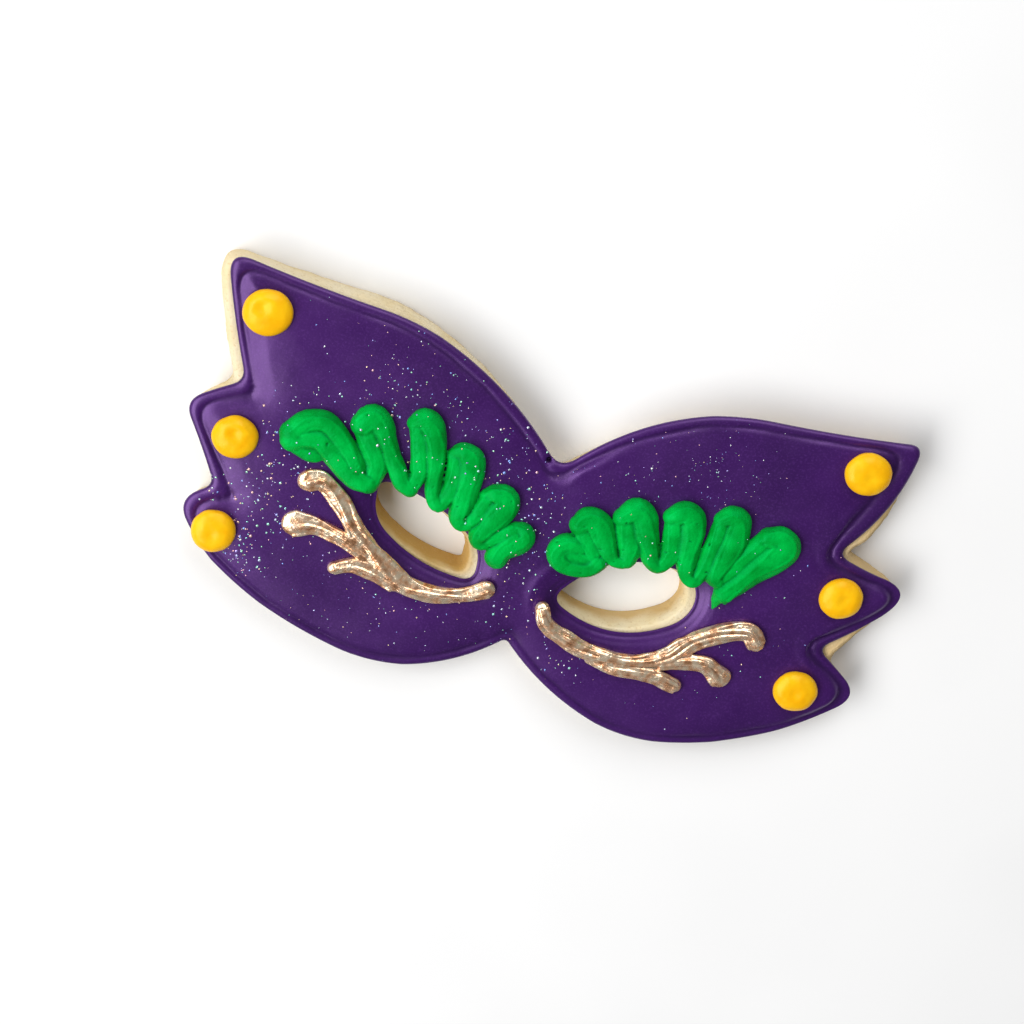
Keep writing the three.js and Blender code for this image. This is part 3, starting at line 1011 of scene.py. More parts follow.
@dataclass(frozen=True)
class MaskCutter:
    """The mask's outline and eye holes, corner by corner."""

    top_notch: Corner = Corner((-0.2, 9.3), 3.6, crust=(0.0, -1.8), flood=(-0.4, -1.7), flood_turn=2.6)
    left_wing: tuple[Corner, ...] = (
        Corner((-28.4, 26.3), 5.0, 2.4, crust=(-2.0, 0.8), crust_bow=2.8, flood=(-0.4, -1.3), flood_bow=2.2),
        Corner(
            (-57.2, 29.1), 4.2, -0.4,
            crust=(-1.1, -0.4), crust_turn=5.0,
            flood=(1.8, -1.3), flood_turn=5.0,
        ),
        Corner(
            (-49.4, 10.0), 2.2, 0.3,
            crust=(-1.4, -1.6), crust_bow=0.6,
            flood=(1.75, -1.2), flood_turn=1.0,
        ),
        Corner((-57.4, 4.4), 3.0, 0.2, crust=(0.9, -1.4), flood=(1.7, -0.3), flood_turn=3.8),
        Corner((-49.6, -7.6), 1.8, -0.2, crust=(0.8, -1.2), flood=(3.2, -0.9), flood_turn=1.0),
        Corner((-54.1, -11.5), 3.0, 0.2, crust=(1.0, -1.0), flood=(1.7, 0.0), flood_turn=3.5),
        Corner((-42.7, -22.4), 5.0, 1.0, crust=(0.5, 0.5), flood=(0.5, 1.15)),
        Corner((-18.8, -29.6), 5.0, 1.05, crust=(0.0, 0.6), flood=(-0.1, 1.3)),
        Corner((0.4, -19.8), 0.9, 1.95, crust=(0.0, 0.6), flood=(0.0, 1.9), flood_turn=1.6),
    )
    right_wing: tuple[Corner, ...] = (
        Corner((24.4, 25.8), 5.0, 2.8, crust=(0.0, -2.2), crust_bow=2.4, flood=(0.3, -1.2), flood_bow=2.6),
        Corner((51.9, 28.8), 2.2, -0.4, crust=(-0.6, -2.2), flood=(-1.6, -1.4), flood_turn=5.5),
        Corner(
            (45.1, 8.2), 2.6, 1.88,
            crust=(2.9, -0.2), crust_bow=1.8,
            flood=(-1.9, -0.7), flood_turn=3.0, flood_bow=0.1,
        ),
        Corner(
            (60.2, 5.5), 7.2, -0.5,
            crust=(-1.3, -1.3), crust_turn=5.2, crust_bow=-0.3,
            flood=(-2.6, -1.1), flood_turn=5.0,
        ),
        Corner(
            (47.8, -7.9), 2.4, 0.45,
            crust=(2.7, -2.4), crust_bow=-0.2,
            flood=(-2.7, 0.25), flood_turn=3.4, flood_bow=0.8,
        ),
        Corner((57.1, -14.3), 3.8, 0.2, crust=(-0.3, -1.0), flood=(-2.1, -0.1), flood_turn=3.8),
        Corner((41.9, -26.1), 5.0, 0.8, crust=(-0.4, 0.5), flood=(-0.35, 1.2)),
        Corner((23.3, -31.3), 5.0, 0.9, crust=(0.0, 0.6), flood=(0.1, 1.25)),
        Corner((0.4, -19.8), 0.9, 1.85, crust=(0.0, 0.6), flood=(0.0, 1.9), flood_turn=1.6),
    )
    left_eye: tuple[Corner, ...] = (
        Corner((-25.8, 0.5), 1.8, 1.65),
        Corner((-24.9, -5.8), 2.6, 0.2),
        Corner((-7.4, -12.0), 2.0, 1.9),
        Corner((-8.1, -6.4), 2.0, 0.2),
    )
    right_eye: tuple[Corner, ...] = (
        Corner((5.2, -11.3), 2.0, 4.35),
        Corner((27.1, -8.2), 3.0, 4.3),
        Corner((25.6, -1.8), 2.8, 0.3),
    )
    eye_shifts: tuple[Place, Place] = ((-1.0, 0.4), (-1.0, 0.0))

    def outline(self, part: Callable[[Corner], Corner], step: float) -> Loop:
        """Draws the outer edge of one part of the cookie.

        Args:
            part: What gives that part's own corner for each of the icing's.
            step: How far apart the edge's points are.

        Returns:
            The edge.
        """
        wings = (self.left_wing, self.right_wing)
        left, right = (tuple(part(corner) for corner in wing) for wing in wings)
        return Loop.through(self.round_trip(part(self.top_notch), left, right), step)

    def eye_edges(self, step: float) -> tuple[Loop, Loop]:
        """The icing's edges round both eye holes, with points a step apart."""
        return tuple(Loop.through(list(eye), step) for eye in (self.left_eye, self.right_eye))

    def flood_edge(self, step: float) -> Loop:
        """The foot of the icing's flooded middle, with points a step apart."""
        return self.outline(Corner.of_flood, step)

    def icing_sheet(self, step: float) -> MaskSheet:
        """The icing's edges, with points a step apart."""
        return MaskSheet(self.outline(Corner.of_icing, step), self.eye_edges(step))

    def biscuit_sheet(self, step: float) -> MaskSheet:
        """The biscuit's own edges, with points a step apart."""
        eyes = (Loop(eye.places + np.array(by)) for eye, by in zip(self.eye_edges(step), self.eye_shifts))
        return MaskSheet(self.outline(Corner.of_biscuit, step), tuple(eyes))

    @staticmethod
    def round_trip(notch: Corner, left: tuple[Corner, ...], right: tuple[Corner, ...]) -> list[Corner]:
        """The corners in order: down the left wing, round the bottom notch and up the right wing."""
        rising = [replace(corner, bow=after.bow) for corner, after in zip(right, right[1:])]
        return [replace(notch, bow=right[0].bow), *left, *reversed(rising)]


@dataclass(frozen=True)
class Spot:
    """A place with its own small change of form, how far that reaches and how much it is."""

    at: Place
    reach: float
    amount: float

    def share(self, net: np.ndarray) -> np.ndarray:
        """How much of the spot's effect points get, from 0 to 1."""
        return np.exp(-((np.hypot(net[:, 0] - self.at[0], net[:, 1] - self.at[1]) / self.reach) ** 2))


@dataclass
class Biscuit:
    """The baked biscuit: a cut-out slab with rounded, finely crumbed edges."""

    cutter: MaskCutter
    finish: BakedCrumb = BakedCrumb()
    step: float = 0.4
    profile: tuple[tuple[float, float, float], ...] = (
        (0.0, 0.7, 0.9),
        (0.7, 0.1, 1.1),
        (2.4, 0.0, 0.9),
        (4.2, 0.25, 0.6),
        (5.0, 0.95, 0.25),
    )
    # The rings of its walls, and the nets of its top and underside.
    foot_rings: int = 4
    foot_height: float = 0.7
    wall_rings: int = 15
    hair: float = 1e-4
    top_rows: tuple[float, ...] = (0.35, 0.75, 1.2, 1.7, 2.3, 3.0, 3.8)
    top_spacing: float = 2.4
    base_rows: tuple[float, ...] = (0.5, 1.1, 1.9)
    base_spacing: float = 1.6
    # Its crumb, pits and chip, and how much of them its foot and its top take.
    crumbs: Layers = ((3.2, 0.1), (1.3, 0.07), (0.6, 0.045))
    pit_size: float = 0.8
    pit_depth: float = 0.16
    pit_least: float = 0.35
    pit_shift: float = 40.0
    held_height: float = 0.5
    held_share: float = 0.12
    top_band: float = 0.05
    top_share: float = 0.6
    top_swell: float = 0.02
    chip: Spot = Spot((49.0, 8.6), 1.1, 1.0)
    # Its golden tone: baked colour low down, painted shade on the right wing, and in each eye hole both baked
    # colour and painted shade, each hole with an amount and the level that it starts at.
    brown_size: float = 2.6
    base_browning: float = 0.35
    base_reach: float = 1.4
    right_wing_shade: float = 0.6
    wing_start: float = 25.0
    wing_reach: float = 25.0
    eye_browning_and_shade: tuple[Place, Place] = ((1.0, 6.5), (0.75, 4.2))
    eye_fade: float = 2.4
    eye_reach: float = 0.8
    seed: int = 11

    def build(self) -> bpy.types.Object:
        """Shapes, crumbs and dresses the biscuit.

        Returns:
            The piece.
        """
        sheet = self.cutter.biscuit_sheet(self.step)
        bitten = self.chip.amount * self.chip.share(sheet.edge.places)
        sheet.edge = Loop(sheet.edge.places + sheet.edge.inward * bitten[:, None])
        form = Form()
        heights, insets, shrinks = (np.array(row) for row in zip(*self.profile))
        foot = np.linspace(0, 1, self.foot_rings + 1)[:-1] * self.foot_height
        levels = np.concatenate([foot, np.linspace(self.foot_height, BISCUIT_TOP, self.wall_rings)])
        loops = [(sheet.edge, insets, False), *((eye, shrinks, True) for eye in sheet.eyes)]
        bottoms, tops = [], []
        for loop, amounts, is_hole in loops:
            last = None
            for level in levels:
                flat = loop.ring(float(np.interp(level, heights, amounts)) + self.hair)
                ring = form.add(np.column_stack([flat, np.full(len(flat), level)]))
                if last is None:
                    bottoms.append(ring)
                elif is_hole:
                    form.strip(ring, last)
                else:
                    form.strip(last, ring)
                last = ring
            tops.append(last)
        self.close(form, bottoms, 0.0, False)
        self.close(form, tops, BISCUIT_TOP, True)
        mesh = form.mesh("biscuit_baked")
        self.crumble(mesh)
        self.note_browning_and_shade(mesh, sheet)
        return set_down(mesh, "biscuit_baked", self.finish, ("biscuit",))

    def close(self, form: Form, rings: list[np.ndarray], level: float, up: bool) -> None:
        """Closes the slab's top or underside.

        Args:
            form: The slab.
            rings: Numbers of the points round the outer edge and both eye holes.
            level: How high they lie.
            up: Whether it is the top.
        """
        made = np.vstack(form.rows)
        rows = [made[ring] for ring in rings]
        outline = MaskSheet(Loop(rows[0][:, :2]), (Loop(rows[1][:, :2]), Loop(rows[2][:, :2])))
        insets, spacing = (self.top_rows, self.top_spacing) if up else (self.base_rows, self.base_spacing)
        net = outline.steps(insets, spacing)
        cover(form, rings, rows, np.column_stack([net, np.full(len(net), level)]), outline, up)

    def crumble(self, mesh: bpy.types.Mesh) -> None:
        """Roughens the sides and the open margin, and keeps the underside flat enough to lie on.

        Args:
            mesh: The biscuit's mesh.
        """
        places = points_of(mesh)
        grain = Grain(self.seed)
        rough = grain.layered(places, self.crumbs)
        pricked = grain.at(places + self.pit_shift, self.pit_size) - self.pit_least
        pits = self.pit_depth * np.clip(pricked, 0, 1)
        free = np.clip(places[:, 2] / self.held_height, self.held_share, 1)
        free = np.where(places[:, 2] > BISCUIT_TOP - self.top_band, self.top_share, free)
        moved = places + normals_of(mesh) * ((rough - pits) * free)[:, None]
        moved[:, 2] = np.clip(moved[:, 2], 0.0, BISCUIT_TOP + self.top_swell)
        move_points(mesh, moved)

    def note_browning_and_shade(self, mesh: bpy.types.Mesh, sheet: MaskSheet) -> None:
        """Notes how golden each point is: most in the eye holes, from baking and painted shade, a little low
        down from baking, and painted shade on the right wing.

        Args:
            mesh: The biscuit's mesh.
            sheet: The biscuit's edges.
        """
        places = points_of(mesh)
        uneven = Grain(self.seed).at(places, self.brown_size)
        browning_and_shade = self.base_browning * self.below(places, self.base_reach, self.base_reach, uneven)
        # Painted shade on the right wing.
        right = np.clip((places[:, 0] - self.wing_start) / self.wing_reach, 0, 1)
        browning_and_shade += self.right_wing_shade * right * (1 - browning_and_shade)
        # The eye holes' walls: baked colour with painted shade over it.
        for eye, (amount, level) in zip(sheet.eyes, self.eye_browning_and_shade):
            inside = np.clip(1 + eye.depth(places) / self.eye_reach, 0, 1)
            deep = self.below(places, level, self.eye_fade, uneven)
            browning_and_shade = np.maximum(browning_and_shade, amount * inside * deep)
        note_down(mesh, "browning_and_shade", browning_and_shade)

    @staticmethod
    def below(places: np.ndarray, level: float, fade: float, uneven: np.ndarray) -> np.ndarray:
        """How far points lie under an uneven level, from 0 at it to 1 where the fade ends."""
        return np.clip((level - places[:, 2] + uneven) / fade, 0, 1)


@dataclass
class PurpleIcing:
    """The icing: a piped bead round every edge and a flooded middle that stands a little higher."""

    cutter: MaskCutter
    finish: PurpleSatin = PurpleSatin()
    # The net that it is drawn over, and the skirt that hangs from its edges, as heights and insets.
    step: float = 0.4
    spacing: float = 0.36
    rows: tuple[float, ...] = (0.03, 0.1, 0.2, 0.34, 0.5, 0.68, 0.88, 1.1, 1.34, 1.6, 1.88, 2.18, 2.5)
    skirt: tuple[tuple[float, float], ...] = (
        (5.42, -0.03),
        (5.22, 0.05),
        (5.06, 0.2),
        (4.97, 0.5),
        (4.98, 1.5),
        (4.98, 3.2),
    )
    # The heights of its edges, its bead and its flooded middle, and the shape of the bead and its groove.
    shoulder: float = 5.6
    crest: float = 6.12
    crown: float = 6.82
    bead_round: float = 1.2
    bead_swell: float = 0.3
    bead_narrow: float = 1.1
    bead_spare: float = 1.6
    groove: float = 0.15
    groove_half: float = 0.42
    groove_uneven: float = 1.1
    groove_size: float = 8.0
    groove_span: Span = (0.1, 2.4)
    # The rise of the flooded middle, and the waves in it.
    flood_reach: float = 2.6
    flood_soft: float = 0.16
    flood_uneven: float = 0.25
    flood_size: float = 9.0
    flood_shift: float = 5.0
    sway: Layers = ((6.0, 0.16), (2.4, 0.05))
    wave_height: float = 0.11
    wave_size: float = 12.0
    wave_shift: float = 9.0
    ripple_height: float = 0.03
    ripple_size: float = 4.5
    wave_inset: float = 3.0
    # The dome of the left wing.
    dome: float = 0.4
    dome_start: float = -28.0
    dome_run: float = 16.0
    dome_reach: float = 5.6
    dome_top: float = 12.0
    dome_drop: float = 14.0
    dome_least: float = 0.4
    # The slopes and fine ridges round the eye holes.
    eye_lip: float = 0.15
    eye_reach: float = 1.75
    eye_curve: float = 1.3
    eye_flat: float = 0.4
    eye_ridge: float = 0.05
    ridge_gap: float = 1.05
    ridge_fade: float = 2.4
    # The welt by the right eye, the low ledges, the lips and the dents.
    welt: Spot = Spot((0.8, -8.0), 5.0, 0.3)
    welt_gap: float = 4.1
    welt_half: float = 0.9
    ledges: tuple[Spot, ...] = (Spot((57.6, 3.0), 5.5, 1.0), Spot((54.5, -16.5), 7.0, 1.0))
    ledge_drop: float = 0.4
    ledge_tilt: float = 0.08
    ledge_edge: float = 0.12
    ledge_calm: float = 0.8
    lips: tuple[Spot, ...] = (
        Spot((43.4, 10.5), 6.0, 0.42),
        Spot((46.2, -6.8), 5.5, 0.44),
        Spot((5.0, 9.5), 5.5, 0.26),
    )
    lip_gap: float = 1.3
    lip_half: float = 0.72
    steepening: float = 0.8
    dents: tuple[Spot, ...] = (
        Spot((-48.2, 8.3), 0.7, 0.12),
        Spot((-46.8, -8.3), 0.7, 0.14),
        Spot((-3.6, -20.6), 0.9, 0.12),
    )
    pinhole: Spot = Spot((-2.25, 10.72), 0.42, 1.1)
    pinhole_points: int = 10
    pinhole_rings: tuple[float, ...] = (0.35, 0.7, 1.0, 1.35)
    pinhole_clear: float = 1.7
    crease_reach: int = 14
    crease_depth: float = 0.1
    seed: int = 23

    def build(self) -> bpy.types.Object:
        """Shapes and dresses the icing.

        Returns:
            The piece.
        """
        sheet = self.cutter.icing_sheet(self.step)
        form = Form()
        edges, rows = [], []
        for loop, way in ((sheet.edge, 1), *((eye, -1) for eye in sheet.eyes)):
            row = np.column_stack([loop.places, self.shoulder - self.ledge_drop * self.ledge(loop.places)])
            squash = (row[:, 2] - BISCUIT_TOP) / (self.shoulder - BISCUIT_TOP)
            ring = form.add(row)
            edges.append(ring)
            rows.append(row)
            last = ring
            for level, inset in self.skirt:
                heights = BISCUIT_TOP + (level - BISCUIT_TOP) * squash
                below = form.add(np.column_stack([loop.ring(inset * way), heights]))
                if way > 0:
                    form.strip(below, last)
                else:
                    form.strip(last, below)
                last = below
        net = self.pierce(sheet.steps(self.rows, self.spacing))
        inner = np.column_stack([net, self.heights(net, sheet)])
        cover(form, edges, rows, inner, sheet, True)
        mesh = form.mesh("purple_icing_sheet")
        mark_creases(mesh, self.crease_reach, self.crease_depth)
        # The pinhole's share, for the finish to paint shade into it.
        note_down(mesh, "pinhole", self.pinhole.share(points_of(mesh)))
        return set_down(mesh, "purple_icing_sheet", self.finish, ("purple_icing",))

    def pierce(self, net: np.ndarray) -> np.ndarray:
        """Sets rings of fine points round the pinhole.

        Args:
            net: The points that the icing is drawn over.

        Returns:
            The points with the rings among them.
        """
        middle, reach = np.array(self.pinhole.at), self.pinhole.reach
        angles = np.linspace(0, 2 * math.pi, self.pinhole_points, endpoint=False)
        ring = np.column_stack([np.cos(angles), np.sin(angles)])
        clear = net[np.linalg.norm(net - middle, axis=1) > self.pinhole_clear * reach]
        return np.vstack([clear, middle, *(middle + share * reach * ring for share in self.pinhole_rings)])

    def heights(self, net: np.ndarray, sheet: MaskSheet) -> np.ndarray:
        """How high the icing stands at points inside its edges.

        Args:
            net: The points' places.
            sheet: The icing's edges.

        Returns:
            One height for each point.
        """
        grain = Grain(self.seed)
        flat = np.column_stack([net, np.zeros(len(net))])
        sway = grain.layered(flat, self.sway)
        within = self.cutter.flood_edge(self.step).depth(net) + sway
        top = self.section(net, sheet.edge.depth(net), within, grain)
        for eye in sheet.eyes:
            top = np.minimum(top, self.eye_section(-eye.depth(net), sway))
        ring = np.exp(-(((-sheet.eyes[1].depth(net) - self.welt_gap) / self.welt_half) ** 2))
        top += self.welt.amount * self.welt.share(net) * ring
        waves = self.wave_height * grain.at(flat + self.wave_shift, self.wave_size)
        waves += self.ripple_height * grain.at(flat, self.ripple_size)
        waves += self.domed(net, within)
        dents = sum(dent.amount * dent.share(net) for dent in (self.pinhole, *self.dents))
        return top + waves * np.clip(within / self.wave_inset, 0, 1) - dents

    def domed(self, net: np.ndarray, within: np.ndarray) -> np.ndarray:
        """Swells the left wing towards its tip, steeper near the brow than lower down.

        Args:
            net: The points' places.
            within: How far they lie inside the flooded middle.

        Returns:
            How much higher each point stands.
        """
        far_left = np.clip((self.dome_start - net[:, 0]) / self.dome_run, 0, 1)
        lower = np.clip((self.dome_top - net[:, 1]) / self.dome_drop, 0, 1)
        reach = self.dome_reach * (self.dome_least + (1 - self.dome_least) * lower)
        return self.dome * far_left * (1 - np.exp(-np.clip(within, 0, None) / reach))

    def section(self, net: np.ndarray, depth: np.ndarray, within: np.ndarray, grain: Grain) -> np.ndarray:
        """The icing's section from an edge inwards: a rounded bead, a soft groove and a broad shoulder.

        Args:
            net: The points' places.
            depth: How far they lie in from the edge.
            within: How far they lie inside the flooded middle, under 0 on the bead.
            grain: The noise that makes the section uneven along the edge.

        Returns:
            One height for each point.
        """
        flat = np.column_stack([net, np.zeros(len(net))])
        outer = np.clip(depth / self.bead_round, 0, 1)
        bead = self.shoulder + (self.crest - self.shoulder) * np.sqrt(1 - (1 - outer) ** 2)
        width = depth + np.clip(-within, 0, None) + 1e-6
        share = np.clip(depth / width, 0, 1)
        swell = self.bead_swell * np.clip(width - self.bead_narrow, 0, self.bead_spare) * share * (1 - share)
        ledge = self.ledge(net)
        steep = np.max([spot.share(net) for spot in (*self.ledges, *self.lips)], axis=0)
        rim = bead + swell
        low = self.shoulder - self.ledge_drop + self.ledge_tilt * share
        rim += ledge / (1 + np.exp(np.clip(within / self.ledge_edge, -60, 60))) * (low - rim)
        depths = 1 + self.groove_uneven * grain.at(flat, self.groove_size) + steep
        groove = self.groove * np.clip(depths, *self.groove_span) * (1 - self.ledge_calm * ledge)
        inside = self.flood_soft * np.logaddexp(0, within / self.flood_soft)
        wander = 1 + self.flood_uneven * grain.at(flat + self.flood_shift, self.flood_size)
        reach = self.flood_reach * wander * (1 - self.steepening * steep)
        flood = (self.crown - self.crest) * (1 - np.exp(-inside / reach))
        raised = sum(spot.amount * spot.share(net) for spot in self.lips)
        lip = raised * np.exp(-(((within - self.lip_gap) / self.lip_half) ** 2))
        return rim - groove * np.exp(-((within / self.groove_half) ** 2)) + flood + lip

    def ledge(self, net: np.ndarray) -> np.ndarray:
        """How much points belong to the low ledges outside the flooded middle, from 0 to 1."""
        return np.max([spot.amount * spot.share(net) for spot in self.ledges], axis=0)

    def eye_section(self, depth: np.ndarray, sway: np.ndarray) -> np.ndarray:
        """The icing's section from an eye hole outwards: a long slope with fine ridges round the hole.

        Args:
            depth: How far the points lie from the hole's edge.
            sway: How far the ridges wander there.

        Returns:
            One height for each point.
        """
        outer = np.clip(depth / self.bead_round, 0, 1)
        lip = self.shoulder + self.eye_lip * np.sqrt(1 - (1 - outer) ** 2)
        inside = np.clip(depth - self.eye_flat * self.bead_round, 0, None)
        climb = 1 - np.exp(-((inside / self.eye_reach) ** self.eye_curve))
        slope = (self.crown - self.shoulder - self.eye_lip) * climb
        waves = np.cos(2 * math.pi * (depth + sway) / self.ridge_gap)
        ridges = self.eye_ridge * waves * np.exp(-depth / self.ridge_fade)
        return lip + slope + ridges * outer


def smooth_run(points: Stroke | tuple[Place, ...], step: float) -> np.ndarray:
    """Runs a smooth curve through places.

    Args:
        points: The places in order, each with any further values that change along the run.
        step: How far apart the curve's points are.

    Returns:
        The curve's points, with the same columns.
    """
    spots = np.asarray(points, float)
    spots = np.vstack([2 * spots[0] - spots[1], spots, 2 * spots[-1] - spots[-2]])
    rows = []
    for before, start, end, after in zip(spots, spots[1:], spots[2:], spots[3:]):
        pairs = ((before, start), (start, end), (end, after))
        gaps = [math.sqrt(np.linalg.norm((b - a)[:2])) + 1e-9 for a, b in pairs]
        first = (start - before) / gaps[0] - (end - before) / (gaps[0] + gaps[1]) + (end - start) / gaps[1]
        last = (end - start) / gaps[1] - (after - start) / (gaps[1] + gaps[2]) + (after - end) / gaps[2]
        first, last = first * gaps[1], last * gaps[1]
        t = np.linspace(0, 1, CURVE_STEPS + 1)[:-1, None]
        rise, turn = 2 * t**3 - 3 * t**2 + 1, t**3 - 2 * t**2 + t
        rows.append(rise * start + turn * first + (1 - rise) * end + (t**3 - t**2) * last)
    fine = np.vstack([*rows, spots[-2]])
    along = np.concatenate([[0], np.cumsum(np.linalg.norm(np.diff(fine[:, :2], axis=0), axis=1))])
    marks = np.linspace(0, along[-1], max(4, round(along[-1] / step)) + 1)
    return np.column_stack([np.interp(marks, along, column) for column in fine.T])


@dataclass(frozen=True)
class DragLines:
    """Fine ridges that a piping tip drags along a rope's back.

    Attributes:
        places: Where they run across it, from -1 at one edge to 1 at the other.
        width: Their half-width.
        sunk: How deep their middles lie under the rope's surface, in half-widths.
        sway: How far they wander across it.
        sway_lengths: The least and the greatest length of that wandering.
        swell: How much their width changes.
        swell_lengths: The least and the greatest length of that change.
        outermost: How far out they may run.
        widest: The most of the rope's half-width that one takes.
        arch: How square the rope's back is.
        lowest: The least share of the rope's height that they lie at.
        sides: How many sides they have.
    """

    places: tuple[float, ...]
    width: float
    sunk: float
    sway: float = 0.16
    sway_lengths: Span = (1.8, 3.2)
    swell: float = 0.3
    swell_lengths: Span = (0.9, 1.9)
    outermost: float = 0.86
    widest: float = 0.4
    arch: float = 3.2
    lowest: float = 0.05
    sides: int = 12


@dataclass
class Rope:
    """A length of piped icing.

    Attributes:
        THINNEST: The least half-width that is piped.
        SEAT: How far its middle lies over the deck, in half-heights.
        LATEST_START: How far into its wave a drag line may start, in radians.
        run: The places of its middle.
        widths: Its half-widths along the run.
        rises: Its half-heights along the run.
        levels: The heights of its middle along the run.
        sides: How many sides it has.
        cap_rings: How many steps round its ends.
    """

    THINNEST = 0.15
    SEAT = 0.4
    LATEST_START = 6

    run: np.ndarray
    widths: np.ndarray
    rises: np.ndarray
    levels: np.ndarray
    sides: int = 24
    cap_rings: int = 5

    @classmethod
    def along(cls, stroke: Stroke, step: float, rise: float) -> "Rope":
        """Lays a rope along one pull of the piping bag.

        Args:
            stroke: The places it passes over, each with the half-width there.
            step: How far apart its points are.
            rise: Its half-height where it is wide enough.

        Returns:
            The rope.
        """
        run = smooth_run(stroke, step)
        half = np.maximum(run[:, 2], cls.THINNEST)
        rises = np.minimum(rise, half)
        return cls(run[:, :2], half, rises, DECK + cls.SEAT * rises)

    def ridges(self, lines: DragLines, draw: np.random.Generator) -> list["Rope"]:
        """Lays drag lines along the rope's back.

        Args:
            lines: Their sizes.
            draw: Where their sway and swell come from.

        Returns:
            One thin rope for each line.
        """
        ahead = np.gradient(self.run, axis=0)
        aside = np.column_stack([-ahead[:, 1], ahead[:, 0]]) / np.linalg.norm(ahead, axis=1)[:, None]
        along = np.append(0, np.cumsum(np.linalg.norm(np.diff(self.run, axis=0), axis=1)))
        ropes = []
        for place in lines.places:
            sway = lines.sway * self.wave(along, lines.sway_lengths, draw)
            offset = self.widths * np.clip(place + sway, -lines.outermost, lines.outermost)
            swell = 1 + lines.swell * self.wave(along, lines.swell_lengths, draw)
            half = np.minimum(lines.width * swell, lines.widest * self.widths)
            arch = np.clip(1 - np.abs(offset / self.widths) ** lines.arch, lines.lowest, 1)
            level = self.levels + self.rises * arch - lines.sunk * half
            ropes.append(Rope(self.run + aside * offset[:, None], half, half, level, lines.sides))
        return ropes

    def wave(self, along: np.ndarray, lengths: Span, draw: np.random.Generator) -> np.ndarray:
        """A wave along the rope, with its length drawn from a span and its start drawn too."""
        return np.sin(along / draw.uniform(*lengths) + draw.uniform(0, self.LATEST_START))

    def add_to(self, form: Form) -> None:
        """Adds the rope's closed tube, with round ends, to a form.

        Args:
            form: The form.
        """
        ahead = np.vstack([self.run[1:], self.run[-1:]]) - np.vstack([self.run[:1], self.run[:-1]])
        ahead /= np.linalg.norm(ahead, axis=1)[:, None]
        last = len(self.run) - 1
        lean = np.linspace(0, math.pi / 2, self.cap_rings + 1)[1:]
        stations = [(0, -math.sin(a), math.cos(a)) for a in lean[-2::-1]]
        stations += [(k, 0.0, 1.0) for k in range(last + 1)]
        stations += [(last, math.sin(a), math.cos(a)) for a in lean[:-1]]
        angles = np.linspace(0, 2 * math.pi, self.sides, endpoint=False)
        rings = []
        for k, beyond, full in stations:
            middle = self.run[k] + ahead[k] * beyond * self.widths[k]
            across = np.cos(angles) * self.widths[k] * full
            up = self.levels[k] + np.sin(angles) * self.rises[k] * full
            x = middle[0] - ahead[k][1] * across
            y = middle[1] + ahead[k][0] * across
            rings.append(form.add(np.column_stack([x, y, up])))
        for low, high in zip(rings, rings[1:]):
            form.strip(low, high)
        for k, beyond, ring, reverse in ((0, -1, rings[0], True), (last, 1, rings[-1], False)):
            end = self.run[k] + ahead[k] * beyond * self.widths[k]
            tip = form.add(np.array([[end[0], end[1], self.levels[k]]]))
            form.fan(ring, int(tip[0]), reverse)


def fused(form: Form, name: str, voxel: float, softness: int) -> bpy.types.Mesh:
    """Draws one skin over overlapping ropes.

    Args:
        form: The ropes.
        name: The skin's name.
        voxel: Fineness of the skin, in millimetres.
        softness: Rounds of smoothing over the creases.

    Returns:
        The skin's mesh, in millimetres.
    """
    raw = bpy.data.objects.new(name + "_ropes", form.mesh(name + "_ropes"))
    bpy.context.scene.collection.objects.link(raw)
    skin = raw.modifiers.new("skin", "REMESH")
    skin.mode = "VOXEL"
    skin.voxel_size = voxel
    soften = raw.modifiers.new("soften", "SMOOTH")
    soften.factor = SOFTENING
    soften.iterations = softness
    made = bpy.data.meshes.new_from_object(raw.evaluated_get(bpy.context.evaluated_depsgraph_get()))
    rough = raw.data
    bpy.data.objects.remove(raw)
    bpy.data.meshes.remove(rough)
    made.shade_smooth()
    return made


@dataclass
class GreenPlume:
    """A zigzag of green rope: a coil at its start and lobes folded close together."""

    node: str
    rising: tuple[Stroke, ...]
    falling: tuple[Stroke, ...]
    seed: int
    finish: GreenPiping = GreenPiping()
    step: float = 0.3
    rising_height: float = 1.25
    falling_height: float = 1.5
    lines: DragLines = DragLines((-0.4, 0.45), 0.48, 0.9)
    lumps: Layers = ((2.6, 0.08), (0.9, 0.035))
    hole_size: float = 0.75
    hole_depth: float = 0.24
    hole_span: Span = (0.6, 0.4)
    hole_shift: float = 17.0
    voxel: float = 0.15
    softness: int = 2
    crease_reach: int = 12
    crease_depth: float = 0.14

    def build(self) -> bpy.types.Object:
        """Pipes, fuses and dresses the plume.

        Returns:
            The piece.
        """
        form = Form()
        draw = np.random.default_rng(self.seed)
        for strokes, height in ((self.rising, self.rising_height), (self.falling, self.falling_height)):
            for stroke in strokes:
                rope = Rope.along(stroke, self.step, height)
                for piece in (rope, *rope.ridges(self.lines, draw)):
                    piece.add_to(form)
        name = self.node + "_piping"
        mesh = fused(form, name, self.voxel, self.softness)
        self.roughen(mesh)
        mark_creases(mesh, self.crease_reach, self.crease_depth)
        return set_down(mesh, name, self.finish, (self.node,))

    def roughen(self, mesh: bpy.types.Mesh) -> None:
        """Gives the rope its slight unevenness and pinholes.

        Args:
            mesh: The plume's mesh.
        """
        places = points_of(mesh)
        grain = Grain(self.seed)
        least, reach = self.hole_span
        pricked = np.clip(grain.at(places + self.hole_shift, self.hole_size) - least, 0, 1)
        push_out(mesh, places, grain.layered(places, self.lumps) - self.hole_depth * pricked / reach)


